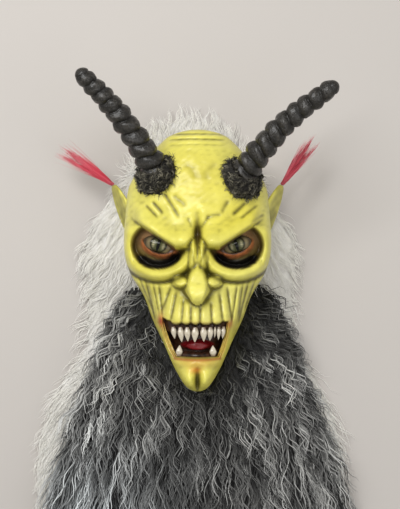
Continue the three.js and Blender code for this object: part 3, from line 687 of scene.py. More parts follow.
class Garden:
    """A geometry node tree under construction."""

    def __init__(self, name):
        self.tree = bpy.data.node_groups.new(name, "GeometryNodeTree")
        self.tree.interface.new_socket("Geometry", in_out="INPUT", socket_type="NodeSocketGeometry")
        self.tree.interface.new_socket("Geometry", in_out="OUTPUT", socket_type="NodeSocketGeometry")
        self.entry = self.tree.nodes.new("NodeGroupInput")
        self.leaving = self.tree.nodes.new("NodeGroupOutput")

    def dial(self, name, value, low=0.0):
        """Add a named input and give its value inside the tree. A dial without a value takes a material."""
        kind = {float: "NodeSocketFloat", int: "NodeSocketInt"}.get(type(value), "NodeSocketMaterial")
        socket = self.tree.interface.new_socket(name, in_out="INPUT", socket_type=kind)
        if value is not None:
            socket.default_value = value
            socket.min_value = type(value)(low)
        return Field(self, self.entry.outputs[name])

    def add(self, kind, _inputs=None, **settings):
        node = self.tree.nodes.new(kind)
        for key, value in settings.items():
            setattr(node, key, value)
        for key, value in (_inputs or {}).items():
            self.feed(value, node.inputs[key])
        return node

    def feed(self, value, socket):
        if isinstance(value, Field):
            value = value.socket
        if isinstance(value, bpy.types.NodeSocket):
            self.tree.links.new(value, socket)
        else:
            socket.default_value = value

    def math(self, kind, *values):
        node = self.add("ShaderNodeMath", dict(enumerate(values)), operation=kind)
        return Field(self, node.outputs[0])

    def vector(self, kind, *values):
        node = self.add("ShaderNodeVectorMath", operation=kind)
        for i, value in enumerate(values):
            self.feed(value, node.inputs[3 if kind == "SCALE" and i == 1 else i])
        return Field(self, node.outputs["Vector"], vector=True)

    def named(self, name, kind="FLOAT"):
        node = self.add("GeometryNodeInputNamedAttribute", {"Name": name}, data_type=kind)
        return Field(self, node.outputs["Attribute"], vector=kind == "FLOAT_VECTOR")

    def named_vector(self, name):
        return self.named(name, "FLOAT_VECTOR")

    def feed_enabled(self, node, **values):
        """Feed the sockets that the node's data type shows."""
        for socket in node.inputs:
            if socket.enabled and socket.name in values:
                self.feed(values[socket.name], socket)

    def chance(self, low, high, seed):
        """A random number for each point."""
        node = self.add("FunctionNodeRandomValue", data_type="FLOAT")
        self.feed_enabled(node, Min=low, Max=high, Seed=seed)
        return [s for s in node.outputs if s.enabled][0]

    def store(self, geometry, name, value, kind="FLOAT"):
        node = self.add("GeometryNodeStoreNamedAttribute", data_type=kind, domain="POINT")
        self.feed_enabled(node, Geometry=geometry, Name=name, Value=value)
        return node.outputs["Geometry"]


LUCKS = ("LuckA", "LuckB", "LuckC", "LuckD")
GROWTH_ATTRIBUTES = ("Root", "Up", "Flow", "Lock", "LockLuck", *LUCKS, "Reach", "Thick", "Curl")


def strand_tree():
    """Grow tapered, wavy strands on a skin that carries Flow, Reach, Thick and Curl attributes."""
    g = Garden("Wavy strands")
    density = g.dial("Strands per square metre", 20000.0)
    width = g.dial("Strand width", 0.0014)
    lift = g.dial("Lift", 0.25, -1.0)
    waves = g.dial("Waves per strand", 2.0)
    swing = g.dial("Wave size", 0.006)
    stray = g.dial("Stray", 0.35)
    points = g.dial("Points per strand", 9, 3)
    spare = g.dial("Loose", 0.16)
    clump = g.dial("Clump", 0.6)
    cells = g.dial("Lock size", 14.0)
    seed = g.dial("Seed", 1)
    material = g.dial("Hair material", None)

    spread = g.add(
        "GeometryNodeDistributePointsOnFaces",
        {"Mesh": g.entry.outputs["Geometry"], "Density": density * g.named("Thick"), "Seed": seed},
        distribute_method="RANDOM",
    )
    place = g.add("GeometryNodeInputPosition").outputs[0]
    roots = g.store(spread.outputs["Points"], "Root", place, "FLOAT_VECTOR")
    roots = g.store(roots, "Up", spread.outputs["Normal"], "FLOAT_VECTOR")
    for k, name in enumerate(LUCKS):
        roots = g.store(roots, name, g.chance(0.0, 1.0, seed + float(k + 11)))
    cell = g.add("ShaderNodeTexVoronoi", {"Scale": g.math("DIVIDE", 1000.0, cells)})
    roots = g.store(roots, "Lock", cell.outputs["Position"], "FLOAT_VECTOR")
    roots = g.store(roots, "LockLuck", cell.outputs["Color"], "FLOAT_VECTOR")
    line = g.add("GeometryNodeCurvePrimitiveLine").outputs["Curve"]
    line = g.add("GeometryNodeResampleCurve", {"Curve": line, "Count": points}).outputs["Curve"]
    set_out = g.add("GeometryNodeInstanceOnPoints", {"Points": roots, "Instance": line})
    strands = g.add("GeometryNodeRealizeInstances", {"Geometry": set_out.outputs["Instances"]}).outputs[0]

    t = Field(g, g.add("GeometryNodeSplineParameter").outputs["Factor"])
    root, up, flow = g.named_vector("Root"), g.named_vector("Up"), g.named_vector("Flow")
    luck = [g.named(name) for name in LUCKS]
    shared = g.add("ShaderNodeSeparateXYZ", {"Vector": g.named_vector("LockLuck")}).outputs
    shared = [Field(g, socket) for socket in shared]
    side = g.vector("NORMALIZE", g.vector("CROSS_PRODUCT", up, flow))
    length = g.named("Reach") * (0.55 + 0.45 * (luck[0] + shared[0]))
    rise = length * lift * (t * (1.25 - 0.75 * t))
    phase = t * waves * (4.4 + 4.2 * shared[1]) + (6.283 * shared[2] + 0.8 * luck[2])
    size = swing * g.named("Curl") * t**0.7 * (0.5 + shared[0])
    wander = length * stray * (shared[1] - 0.5)
    loose = length * spare * (luck[3] - 0.5)
    across = size * g.math("SINE", phase) + wander * t + loose * t
    over = rise + size * 0.7 * g.math("COSINE", phase)
    gather = (g.named_vector("Lock") - root) * (clump * t)
    spot = root + flow * (length * t) + gather + side * across + up * over
    spot = g.vector("MAXIMUM", spot, (-9.0, -9.0, 0.0012))
    strands = g.add("GeometryNodeSetPosition", {"Geometry": strands, "Position": spot}).outputs[0]
    thin = (0.6 + 0.6 * luck[1]) * width
    taper = 0.12 + 0.88 * (1.0 - t) ** 0.6
    strands = g.store(strands, "Along", t)
    strands = g.store(strands, "Shade", 0.34 * luck[1] + 0.66 * shared[2])
    profile = g.add("GeometryNodeCurvePrimitiveCircle", {"Resolution": 3, "Radius": 0.5}).outputs["Curve"]
    skin = g.add(
        "GeometryNodeCurveToMesh",
        {"Curve": strands, "Profile Curve": profile, "Scale": thin * taper, "Fill Caps": True},
    ).outputs["Mesh"]
    whole = g.add("GeometryNodeRealizeInstances", {"Geometry": skin}).outputs[0]
    dressed = g.add("GeometryNodeSetMaterial", {"Geometry": whole, "Material": material}).outputs[0]
    g.tree.links.new(dressed, g.leaving.inputs[0])
    return g.tree


def grown_hair(name, skin, **dials):
    """Grow strands on a copy of a skin and turn them into a plain mesh."""
    tree = bpy.data.node_groups.get("Wavy strands") or strand_tree()
    made = new_object(name, skin.data.copy())
    made.data.materials.clear()
    modifier = made.modifiers.new("Strands", "NODES")
    modifier.node_group = tree
    for item in tree.interface.items_tree:
        key = item.name.replace(" ", "_").lower()
        if item.in_out == "INPUT" and key in dials:
            modifier[item.identifier] = dials[key]
    applied(made)
    made.data.shade_smooth()
    for helper in GROWTH_ATTRIBUTES:
        layer = made.data.attributes.get(helper)
        if layer:
            made.data.attributes.remove(layer)
    if len(made.data.polygons) < 100:
        raise RuntimeError(name + " grew no hair")
    return made


def hair_skin(skin, flow, reach, thick, curl):
    """Store how hair grows on a skin. flow needs no fixed length; it mostly follows the surface."""
    normals = point_values(skin, "normal")
    flow = unit_rows(flow)
    out = np.sum(flow * normals, axis=1, keepdims=True)
    flow = unit_rows(flow - normals * out * np.where(out > 0, 0.6, 1))
    give_attribute(skin, "Flow", "FLOAT_VECTOR", flow)
    give_attribute(skin, "Reach", "FLOAT", reach * MM)
    give_attribute(skin, "Thick", "FLOAT", thick)
    give_attribute(skin, "Curl", "FLOAT", curl)


# Settings


def color_dial(name, description, default):
    return FloatVectorProperty(
        name=name, description=description, subtype="COLOR", size=3, min=0, max=1, default=default,
    )


def density_dial(name, description, default):
    return FloatProperty(name=name, description=description, default=default, min=1000)


class MaskFaceSettings(bpy.types.PropertyGroup):
    skin_color: color_dial("Skin colour", "Main paint of the face", (0.75, 0.69, 0.13))
    # The wash colour is a dark paint that also serves as painted shade in the hollows, grooves, sockets, under
    # the nose and cheeks, and in the ears.
    wash_and_shade_color: color_dial("Wash colour", "Dark wash that lies in the hollows", (0.10, 0.085, 0.012))
    lid_color: color_dial("Lid colour", "Orange paint of the eyelids", (0.60, 0.19, 0.07))
    lip_color: color_dial("Lip colour", "Red paint round the mouth", (0.52, 0.07, 0.02))
    across_lines: IntProperty(
        name="Lines across", description="Mesh lines across the face", default=176, min=40, max=190,
    )
    length_lines: IntProperty(
        name="Lines along", description="Mesh lines from crown to chin", default=222, min=60, max=235,
    )


class MaskHornSettings(bpy.types.PropertyGroup):
    horn_color: color_dial("Horn colour", "Lacquer of the horns", (0.0065, 0.0055, 0.004))
    cuff_density: density_dial("Cuff density", "Curls on each square metre of cuff", 160000)


class MaskFurSettings(bpy.types.PropertyGroup):
    grey_density: density_dial("Grey density", "Strands on each square metre of mantle", 38000)
    white_density: density_dial("White density", "Strands on each square metre of hood", 39000)
    strand_width: FloatProperty(
        name="Strand width", description="Width of a lock of hair at its root", subtype="DISTANCE",
        default=0.0019, min=0.0002, max=0.01, precision=4,
    )


class MaskStageSettings(bpy.types.PropertyGroup):
    floor_color: color_dial("Floor colour", "Colour of the floor", (0.53, 0.50, 0.47))
    camera_height: FloatProperty(
        name="Camera height", description="Height of the camera over the face", subtype="DISTANCE",
        default=1.5, min=0.5, max=10,
    )
    key_power: FloatProperty(
        name="Key light", description="Power of the main light", subtype="POWER", unit="POWER",
        default=30, min=0,
    )


# The face


def fine_grid(across_lines, length_lines):
    """Give the face's grid of points, its walls included, in millimetres."""
    u = np.linspace(-1, 1, across_lines)
    front = 0.5 * (math.pi / 2) * u + 0.5 * np.arcsin(u)
    wall = np.linspace(0, 1, 9)[1:]
    angle = np.concatenate([np.full(8, -math.pi / 2), front, np.full(8, math.pi / 2)])
    back = np.concatenate([wall[::-1], 0 * u, wall])[None, :]
    v = np.linspace(0, 1, length_lines)
    share = (0.55 * v + 0.45 * (1 - np.cos(math.pi * v)) / 2)[:, None]
    half = FACE_WIDTH / 2 * outline_share(round_place(share))
    x = half * np.sin(angle)[None, :]
    level = CROWN_Y - FACE_LENGTH * share
    swept = np.clip(np.abs(x), 30, 92) - 56
    y = level + 0.66 * swept * bump(0, level - 6, 1, 46) * step(0, 0.4, np.cos(angle))[None, :]
    z = head_surface(x, y, fine=True)
    z = np.where(back > 0, edge_height(share) + 0 * x, z)
    taper = 1 - 0.1 * back
    return np.stack([x * taper, y * (0.4 + 0.6 * taper), mix(z, RIM_Z, back**0.9)], axis=-1)


def face_paint(x, y, z, s):
    """Give the paint at places on the face: skin, dark wash and painted shade in the hollows, grooves, sockets
    and under the forms, a painted highlight on the muzzle, lids, near-black painted shade over the sight
    slits, lips and mouth.
    """
    ax = np.abs(x)
    here = carved(x, y) + fine_relief(x, y)

    def hollow(reach):
        total = 0
        for k in range(8):
            dx, dy = reach * math.cos(k * math.pi / 4), reach * math.sin(k * math.pi / 4)
            total = total + carved(x + dx, y + dy) + fine_relief(x + dx, y + dy)
        return total / 8 - here

    def mottled(paint, share, size, seed):
        return paint * (1 + share * ripple(x, y, z, size, seed)[:, None])

    skin, wash_and_shade = np.array(s.skin_color), np.array(s.wash_and_shade_color)
    lid, lip = np.array(s.lid_color), np.array(s.lip_color)
    inside = inside_mouth(x, y)
    p, q = eye_place(ax, y)
    e = socket_ring(ax, y)
    under_nose_shade = step(-44, -60, y) * step(-114, -92, y) * step(52, 38, ax) * step(6, 16, ax)
    under_cheek_shade = step(-46, -58, y) * step(-170, -140, y) * step(34, 58, ax)
    in_socket = (1 - step(0.93, 1.06, e)) * step(-1, 3, brow_edge(ax) - y)
    lids = 1 - step(0.84, 1.02, np.hypot(p / 29.5, (q + 2.6) / 16.8))
    rim = np.abs(q) - 11.5 * (1 - np.clip(p / 25, -1, 1) ** 2)
    middle = 0.865 + 0.02 * step(50, 80, ax)
    below = step(-11, -15, y + (ax - 50) * 0.05)
    slit_shade_crescent = step(0.24, 0.17, np.abs(e - middle + 0.05)) * below * step(20, 27, ax)
    lips = bell(inside + 0.8, 2.2) * step(-100, -116, y + ax * 0.06)
    corners = bump(x + 52, y + 108, 5, 10) + 0.7 * bump(x - 46, y + 112, 4, 6)
    deep = step(0.2, 2.6, inside)
    tongue = (1 - step(0.8, 1.05, np.hypot(x / 25, (y + 142) / 7.5))) * deep
    coats = [
        # Painted highlight: paler paint over the muzzle's bulge.
        ((0.84, 0.77, 0.24), 0.4 * bump(x, y + 99, 44, 15)),
        (skin * (0.9, 0.86, 0.6), 0.9 * bump(x, y - 90, 75, 50)),
        # Dark wash and painted shade: the further a place lies below its neighbours, at two reaches, the
        # darker it is painted.
        (wash_and_shade * 2.2, np.clip(hollow(9) * 0.085 - 0.02, 0, 0.7)),
        (wash_and_shade, np.clip(hollow(3.5) * 0.42 - 0.05, 0, 0.85)),
        # Painted shade: darker on the shell's low-lying flanks, which turn away from the light.
        (wash_and_shade * 1.5, 0.45 * step(0, 16, 84 - z) * (z > RIM_Z)),
    ]
    # Dark wash and painted shade along the frown lines and grooves, by each groove's depth.
    for line in FROWN_LINES:
        coats.append((wash_and_shade, 0.2 * line[DEPTH] * groove(x, y, line, 0.8)))
    for line in MUZZLE_GROOVES + CHEEK_GROOVES + BRIDGE_GROOVES + KNOB_CREASES:
        coats.append((wash_and_shade, 0.19 * line[DEPTH] * groove(x, y, line, 0.62)))
    for line in FOREHEAD_GROOVES:
        coats.append((wash_and_shade * 2.6, 0.3 * groove(x, y, line)))
    coats += [
        # Painted shade in the dent between the brows.
        (wash_and_shade * (0.7, 0.5, 0.5), 0.95 * bump(x - 1 - 0.06 * (14 - y), y - 13, 4.6, 15)),
        # Painted shade, mottled, under the nose and under the cheeks.
        (wash_and_shade * 2.6, 0.22 * under_nose_shade * (0.6 + 0.5 * ripple(x * 2.5, y * 0.4, z, 20, 7))),
        (wash_and_shade * 2.0, 0.34 * under_cheek_shade * (0.6 + 0.5 * ripple(x * 2.5, y * 0.3, z, 18, 11)) * (inside < -3)),
        # Painted shade in the crease under the eye bags and in the eye sockets.
        (wash_and_shade * 0.7, 0.8 * (bell(e - 1.58, 0.085) * step(-20, -34, y))),
        (wash_and_shade * (0.75, 0.62, 0.6), 0.93 * in_socket),
        (lid * (0.85, 1.5, 2.2), 0.85 * (bump(p - 8, q - 2, 33, 16) * in_socket * step(1.0, 0.72, e))),
        (mottled(lid, 0.25, 11, 5), 0.9 * lids * in_socket * step(6, -2, q)),
        ((0.02, 0.012, 0.008), 0.92 * step(3.4, 1.0, rim) * step(29, 24, np.abs(p)) * in_socket),
        # Painted shade: near-black crescents over the grooves that stand for the sight slits.
        ((0.006, 0.005, 0.004), 0.98 * slit_shade_crescent * step(95, 84, ax + 0.3 * np.abs(y + 18))),
        (lip * 0.6, (0.55 + 0.3 * step(-150, -162, y)) * lips),
        (lip * (0.8, 0.5, 0.5), 0.95 * corners),
        (lip * (1.0, 2.0, 1.2), 0.45 * (bump(x, y + 166, 28, 6) * step(3, -2, inside))),
        (lip * (1.5, 2.6, 1.0), 0.6 * bump(x + 3, y + 175, 8, 5) * step(3, -2, inside)),
        (mottled(np.array((0.035, 0.014, 0.007)), 0.5, 9, 6), deep),
        ((0.17, 0.003, 0.006), 0.97 * tongue),
        # Painted shade in the cleft of the chin.
        (wash_and_shade * 1.3, 0.6 * bump(x - 0.5, y + 190, 4.5, 13)),
    ]
    color = mottled(skin, 0.06, 55, 8) + np.array((0.02, 0.03, 0.03)) * ripple(x, y, z, 120, 9)[:, None]
    for paint, amount in coats:
        color = laid(color, paint, amount)
    return np.clip(color, 0.002, 1)


def neck_hole(points):
    """Tell which points lie in the arch that the wearer's neck goes through."""
    t = np.clip((points[:, 1] + 95) / (-467 + 95), 0, 1)
    wide = mix(72, 118, t)
    high = mix(62, 24, step(0.2, 1, t))
    arch = (points[:, 0] / wide) ** 2 + ((points[:, 2] - 24) / high) ** 2
    return (points[:, 1] < -95) & (arch < 1)


EAR_POINTS = [(90, 12, 66), (110, 56, 66), (126, 90, 68)]
EAR_SIDES, EAR_RINGS = 40, 34


class MASK_OT_face(bpy.types.Operator):
    """Build the carved and painted face shell with its pointed ears"""

    bl_idname = "mask.face"
    bl_label = "Face Shell"

    def execute(self, context):
        s = context.scene.mask_face
        latex = painted_latex()
        grid = fine_grid(s.across_lines, s.length_lines)
        rows, columns = grid.shape[:2]
        faces = [
            (r * columns + c, (r + 1) * columns + c, (r + 1) * columns + c + 1, r * columns + c + 1)
            for r in range(rows - 1)
            for c in range(columns - 1)
        ]
        face = mesh_object("face", grid.reshape(-1, 3), faces, latex)
        points = corner_array(face)
        give_attribute(face, "Paint", "FLOAT_COLOR", face_paint(points[:, 0], points[:, 1], points[:, 2], s))
        gone = neck_hole(points)
        shape = bmesh.new()
        shape.from_mesh(face.data)
        shape.verts.ensure_lookup_table()
        bmesh.ops.delete(shape, geom=[v for v, g in zip(shape.verts, gone) if g], context="VERTS")
        shape.to_mesh(face.data)
        shape.free()
        wall = face.modifiers.new("Wall", "SOLIDIFY")
        wall.thickness = SHELL_WALL * MM
        wall.offset = -1
        applied(face)
        settle(face, "face_shell")
        for side, sign in SIDES:
            self.make_ear(side, sign, latex, s)
        return {"FINISHED"}

    def make_ear(self, side, sign, latex, s):
        """A cupped, pointed ear with a rolled edge."""
        curve = smooth_curve([(sign * x, y, z) for x, y, z in EAR_POINTS])

        def size(t, angles):
            wide = 23 * math.sqrt(max(0, 1 - t**2.2)) * mix(0.85, 1, math.sin(math.pi * t)) + 3
            across = wide * np.cos(angles)
            cup = 7 * (np.cos(angles) ** 2 - 0.4) * sign
            thick = 7.5 * mix(1, 0.4, t) * np.sin(angles)
            roll = 1.3 * np.abs(np.cos(angles)) ** 6 * np.sin(angles)
            return across, thick + roll + cup * (1 - t)

        facing = (-sign * 0.42, 0.16, 0.89)
        rings = rings_along(curve, np.linspace(0, 1, EAR_RINGS), EAR_SIDES, facing, size)
        ear = loft_object("ear_" + side, rings, latex)
        points = corner_array(ear)
        skin, wash_and_shade = np.array(s.skin_color), np.array(s.wash_and_shade_color)
        # Painted shade in the ear's cup and towards its root, with a mottle of random tone.
        fold = step(8, 20, np.abs(points[:, 2] - 67))
        ear_shade_and_mottle = 0.45 * (1 - fold) + 0.12 * ripple(*points.T, 12, 2) + 0.25 * step(60, 40, points[:, 1])
        give_attribute(ear, "Paint", "FLOAT_COLOR", laid(skin, wash_and_shade, np.clip(ear_shade_and_mottle, 0, 0.8)))
        settle(ear, "face_shell")


# Eyes and teeth


EYE_SIZE = (23, 12, 11)
EYE_SUNK = 1.5
EYE_SIDES, EYE_RINGS = 72, 40


class MASK_OT_eyes(bpy.types.Operator):
    """Build the domed, slit-pupilled eyes"""

    bl_idname = "mask.eyes"
    bl_label = "Eyes"

    def execute(self, context):
        gloss = glossy_eye()
        top = surface_at(EYE_X, EYE_Y)
        for side, sign in SIDES:
            self.make_eye(side, sign, top, gloss)
        return {"FINISHED"}

    def make_eye(self, side, sign, top, gloss):
        around = np.linspace(0, 2 * math.pi, EYE_SIDES, endpoint=False)
        polar = np.linspace(0.0005, math.pi / 2 + 0.5, EYE_RINGS)
        c, s = [math.cos(p) for p in polar], [math.sin(p) for p in polar]
        unit = np.stack([
            np.outer(s, np.cos(around)), np.outer(s, np.sin(around)), np.outer(c, 0 * around + 1),
        ], axis=-1)
        turn = np.array(Matrix.Rotation(sign * EYE_TILT, 3, "Z"))
        middle = np.array((sign * EYE_X, EYE_Y, top - EYE_SUNK))
        eye = loft_object("eye_dome_" + side, (unit * np.array(EYE_SIZE)) @ turn.T + middle, gloss)
        points = corner_array(eye) - middle
        p, q = (points @ turn)[:, 0], (points @ turn)[:, 1]
        give_attribute(eye, "Paint", "FLOAT_COLOR", self.eye_paint(p * sign, q))
        settle(eye, "eye_" + side)

    def eye_paint(self, p, q):
        """Dark iris with cream flecks beside the slit, a dark rim, shaded corners, painted shadow over the
        upper part and painted shade along the lower edge. p runs outwards.
        """
        r = np.hypot((p - 1) / 11.5, q / 10.5)
        spoke = 0.5 + 0.5 * np.sin(np.arctan2(q, p - 1) * 23 + 3 * ripple(p, q, 0 * p, 7, 1))
        color = laid(np.array((0.014, 0.017, 0.006)), (0.12, 0.125, 0.05), spoke * 0.6 + 0.15)
        fleck = bell(np.abs(p - 1) - 7.2, 1.9) * bell(q + 1, 5)
        slit = np.abs(p - 1) / np.maximum(0.1, 2.3 * np.sqrt(np.maximum(0, 1 - (q / 11.5) ** 2)))
        for paint, amount in (
            ((0.46, 0.42, 0.26), 0.8 * fleck * (0.5 + 0.5 * spoke)),
            ((0.20, 0.155, 0.085), 0.85 * step(0.95, 1.15, r)),
            ((0.012, 0.010, 0.006), 0.95 * bell(r - 0.98, 0.11)),
            ((0.03, 0.018, 0.01), 0.92 * step(1.25, 1.75, r)),
            # Painted shadow of the lid over the upper part of the eye, and painted shade along its lower edge.
            ((0.010, 0.008, 0.005), 0.75 * step(1.5, 9, q)),
            ((0.02, 0.012, 0.006), 0.9 * step(-7.5, -10.5, q)),
            ((0.003, 0.003, 0.002), step(1.25, 0.85, slit)),
        ):
            color = laid(color, paint, amount)
        return color


TOOTH_CREAM = (0.58, 0.52, 0.40)
TOOTH_BROWN = (0.15, 0.085, 0.05)
TOOTH_SIDES, TOOTH_RINGS = 20, 22
UPPER_GUM_Y, UPPER_LENGTH, UPPER_WIDTH = -115.5, 20, 9.4
FANG_GUM_Y, FANG_LENGTH, FANG_WIDTH = -157, 15, 10

# Place across, lean, and shares of the length and width of each upper tooth
UPPER_TEETH = [
    (-34, 0.12, 0.85, 0.9), (-24, 0.1, 1.05, 1), (-14.5, 0.06, 0.98, 1), (-3, -0.03, 1.05, 1.1),
    (8.5, 0.02, 1, 1.05), (18.2, -0.04, 0.95, 0.95), (24.8, -0.04, 0.75, 0.45), (30.2, -0.04, 0.92, 0.7),
    (36.8, -0.08, 0.85, 0.75),
]


class MASK_OT_teeth(bpy.types.Operator):
    """Build the pointed upper teeth and the two lower fangs"""

    bl_idname = "mask.teeth"
    bl_label = "Teeth"

    def execute(self, context):
        ivory = stained_tooth()
        for i, (x, lean, length, width) in enumerate(UPPER_TEETH):
            node = "upper_tooth_" + str(i + 1)
            self.make_tooth(node, x, UPPER_GUM_Y, lean, UPPER_LENGTH * length, UPPER_WIDTH * width, -1, ivory)
        for side, x, lean in (("left", -26, 0.06), ("right", 22, -0.02)):
            self.make_tooth("lower_fang_" + side, x, FANG_GUM_Y, lean, FANG_LENGTH, FANG_WIDTH, 1, ivory)
        return {"FINISHED"}

    def make_tooth(self, node, x, y, lean, length, width, way, ivory):
        gum = surface_at(x, y) + 2
        root = np.array((x, y, gum))
        tip = root + np.array((lean * length, way * length, -0.5))

        def along(t):
            return mix(root, tip, t) + np.array((0, 0, 1.2 * math.sin(math.pi * t)))

        def size(t, angles):
            full = math.sqrt(mix(0.36, 1, step(0, 0.4, t)))
            full *= 1 - 0.93 * min(1, max(0, (t - 0.4) / 0.6)) ** 1.35
            c, s = np.cos(angles), np.sin(angles)
            wide = width / 2 * full * np.sign(c) * np.abs(c) ** 0.9
            return wide, 2.8 * full * np.sign(s) * np.abs(s) ** 0.8

        rings = rings_along(along, np.linspace(0, 1, TOOTH_RINGS), TOOTH_SIDES, (1, 0, 0), size)
        tooth = loft_object(node + "_cast", rings, ivory)
        points = corner_array(tooth)
        t = (points[:, 1] - y) / (way * length)
        aside = np.abs(points[:, 0] - x - lean * length * t) / (width / 2)
        # Brown stain at the root, painted shade on the tooth's flanks, and random mottle.
        stain_and_flank_shade = 0.8 * (1 - step(0.0, 0.3, t)) + 0.16 * ripple(*points.T, 5, 4) + 0.4 * step(0.45, 1, aside)
        paint = laid(np.array(TOOTH_CREAM), TOOTH_BROWN, np.clip(stain_and_flank_shade, 0, 0.9))
        give_attribute(tooth, "Paint", "FLOAT_COLOR", paint)
        settle(tooth, node)


# Horns, cuffs and tufts

HORN_POINTS = {
    "left": [(-49, 84, 128), (-64, 114, 162), (-112, 184, 192), (-163, 237, 217)],
    "right": [(52, 78, 128), (70, 108, 162), (124, 170, 192), (191, 219, 217)],
}
HORN_BEADS = 12
HORN_SIDES, HORN_RINGS = 56, 300
TUFT_ENDS = {"left": (-206, 142, 58), "right": (176, 156, 62)}
TUFT_PRONG = 7


def ring_phase(t, angles):
    return HORN_BEADS * ((t - HORN_BURIED) / (1 - HORN_BURIED)) + 0.55 * np.cos(angles) / math.pi


class MASK_OT_horns(bpy.types.Operator):
    """Build the ringed horns"""

    bl_idname = "mask.horns"
    bl_label = "Horns"

    def execute(self, context):
        lacquer = horn_lacquer(tuple(context.scene.mask_horn.horn_color))
        for side, points in HORN_POINTS.items():
            self.make_horn(side, points, lacquer)
        return {"FINISHED"}

    def make_horn(self, side, points, lacquer):
        curve = smooth_curve(points)
        crests = []

        def size(t, angles):
            bare = mix(HORN_ROOT_RADIUS, HORN_TIP_RADIUS, min(1, max(0, t)) ** 1.25)
            ringed = float(step(HORN_BURIED, HORN_BURIED + 0.04, t) * (1 - step(0.93, 1, t)))
            uneven = 0.06 * np.sin(2 * angles + 7 * t) + 0.035 * np.sin(5 * angles + 31 * t)
            beat = np.abs(np.sin(math.pi * (ring_phase(t, angles) + 0.5 + uneven)))
            bead = np.sqrt(beat) * (1 + 0.16 * np.sin(3 * angles + 40 * t) * beat)
            crests.append(bead)
            tip = math.sqrt(max(0, 1 - min(1, max(0, (t - 0.95) / 0.0505)) ** 2))
            grain = 0.012 * np.sin(19 * angles + 14 * t) + 0.01 * np.sin(31 * angles - 25 * t)
            grain = grain + 0.018 * np.sin(7 * angles + 90 * t) * np.sin(160 * t + 2 * angles)
            r = bare * (1 + ringed * (0.34 * bead - 0.2) + grain) * max(tip, 0.05)
            return r * np.cos(angles), r * np.sin(angles)

        rings = rings_along(curve, np.linspace(0.02, 1, HORN_RINGS), HORN_SIDES, (1, 0, 0), size)
        horn = loft_object("horn_cast_" + side, rings, lacquer)
        crest = np.concatenate([np.array(crests).ravel(), [0.5, 0.5]])
        if len(crest) != len(horn.data.vertices):
            raise RuntimeError("a horn's points and crests differ in number")
        give_attribute(horn, "Crest", "FLOAT", crest)
        settle(horn, "horn_" + side)


class MASK_OT_cuffs(bpy.types.Operator):
    """Grow the dark curly cuffs round the horns' roots"""

    bl_idname = "mask.cuffs"
    bl_label = "Horn Cuffs"

    def execute(self, context):
        s = context.scene.mask_horn
        ground = fur_ground("Dark underfur", (0.008, 0.007, 0.005), (0.03, 0.026, 0.02))
        curls = hair("Dark curls", (0.006, 0.005, 0.003), (0.24, 0.22, 0.16), (0.24, 0.22, 0.17), 0.4)
        for side, seed in (("left", 3), ("right", 4)):
            cuff = cad_copy("horn_cuff_" + side, "cuff_ground_" + side, ground, voxel=2.2)
            place, normal = corner_array(cuff), point_values(cuff, "normal")
            lumps = ripple(*place.T, 7, 12)
            place_corners(cuff, place + normal * (0.8 * lumps - 0.8)[:, None])
            swirl = np.stack([ripple(*place.T, 16, k) for k in (21, 22, 23)], axis=1)
            spin = np.cross(normal, np.array((0.2, 0.9, 0.4))) + 0.9 * swirl
            outside = step(-0.2, 0.1, normal[:, 2] + 0.6)
            hair_skin(cuff, spin, 0 * lumps + 8, outside, 0 * lumps + 1)
            fur = grown_hair(
                "cuff_curls_" + side, cuff, strands_per_square_metre=s.cuff_density, strand_width=0.0013,
                lift=0.42, waves_per_strand=1.3, wave_size=0.0022, stray=0.9, points_per_strand=8,
                clump=0.2, lock_size=3.5, seed=seed, hair_material=curls,
            )
            settle(cuff, "horn_cuff_" + side)
            settle(fur)
        return {"FINISHED"}


class MASK_OT_tufts(bpy.types.Operator):
    """Grow the stiff red tufts on the ear tips"""

    bl_idname = "mask.tufts"
    bl_label = "Ear Tufts"

    def execute(self, context):
        ground = fur_ground("Red underfur", (0.35, 0.03, 0.05), (0.62, 0.12, 0.15))
        red = hair("Red hair", (0.66, 0.04, 0.075), (0.86, 0.22, 0.28), (0.95, 0.58, 0.60), 0.5, root=0.8)
        for side, sign in SIDES:
            tuft = cad_copy("ear_tuft_" + side, "tuft_ground_" + side, ground, voxel=1.2)
            place = corner_array(tuft)
            ear_x, ear_y, ear_z = EAR_POINTS[-1]
            start, end = np.array((sign * ear_x, ear_y, ear_z), float), np.array(TUFT_ENDS[side], float)
            length = np.linalg.norm(end - start)
            way = (end - start) / length
            t = (place - start) @ way / length
            axis = start + np.outer(t * length, way)
            out = place - axis
            across = np.cross(way, (0, 0, 1.0))
            side_part = out @ across
            thin = mix(0.85, 0.10, step(0.1, 0.72, t))[:, None]
            moved = axis + (out - np.outer(side_part, across)) * thin
            moved = moved + np.outer(side_part * thin[:, 0], across)
            place_corners(tuft, moved)
            tips = end + np.outer(np.where(side_part > 0, TUFT_PRONG, -TUFT_PRONG), across)
            flow = tips - moved
            reach = np.linalg.norm(flow, axis=1) * 0.8
            hair_skin(tuft, flow, reach, step(0.04, 0.1, t) * (step(0.75, 0.3, t) + 0.1), 0 * t + 1)
            fur = grown_hair(
                "tuft_hair_" + side, tuft, strands_per_square_metre=220000.0, strand_width=0.0010, lift=0.02,
                waves_per_strand=0.4, wave_size=0.0014, stray=0.05, points_per_strand=7, clump=0.3,
                lock_size=9.0, loose=0.05, seed=7 if side == "left" else 8, hair_material=red,
            )
            settle(tuft, "ear_tuft_" + side)
            settle(fur)
        return {"FINISHED"}


# Fur


MANTLE_LIMITS = (-278, 254, -474)
HOOD_LIMITS = (-284, 262, -480)
LONGEST_SHARE = 1.4  # the longest strands, against the reach
HOOD_X = -12
HEM_Y, HEM_REACH = -456, 13
JAW_Y = -205


def face_half_width(y):
    return FACE_WIDTH / 2 * outline_share(round_place(np.clip((CROWN_Y - y) / FACE_LENGTH, 0, 1)))


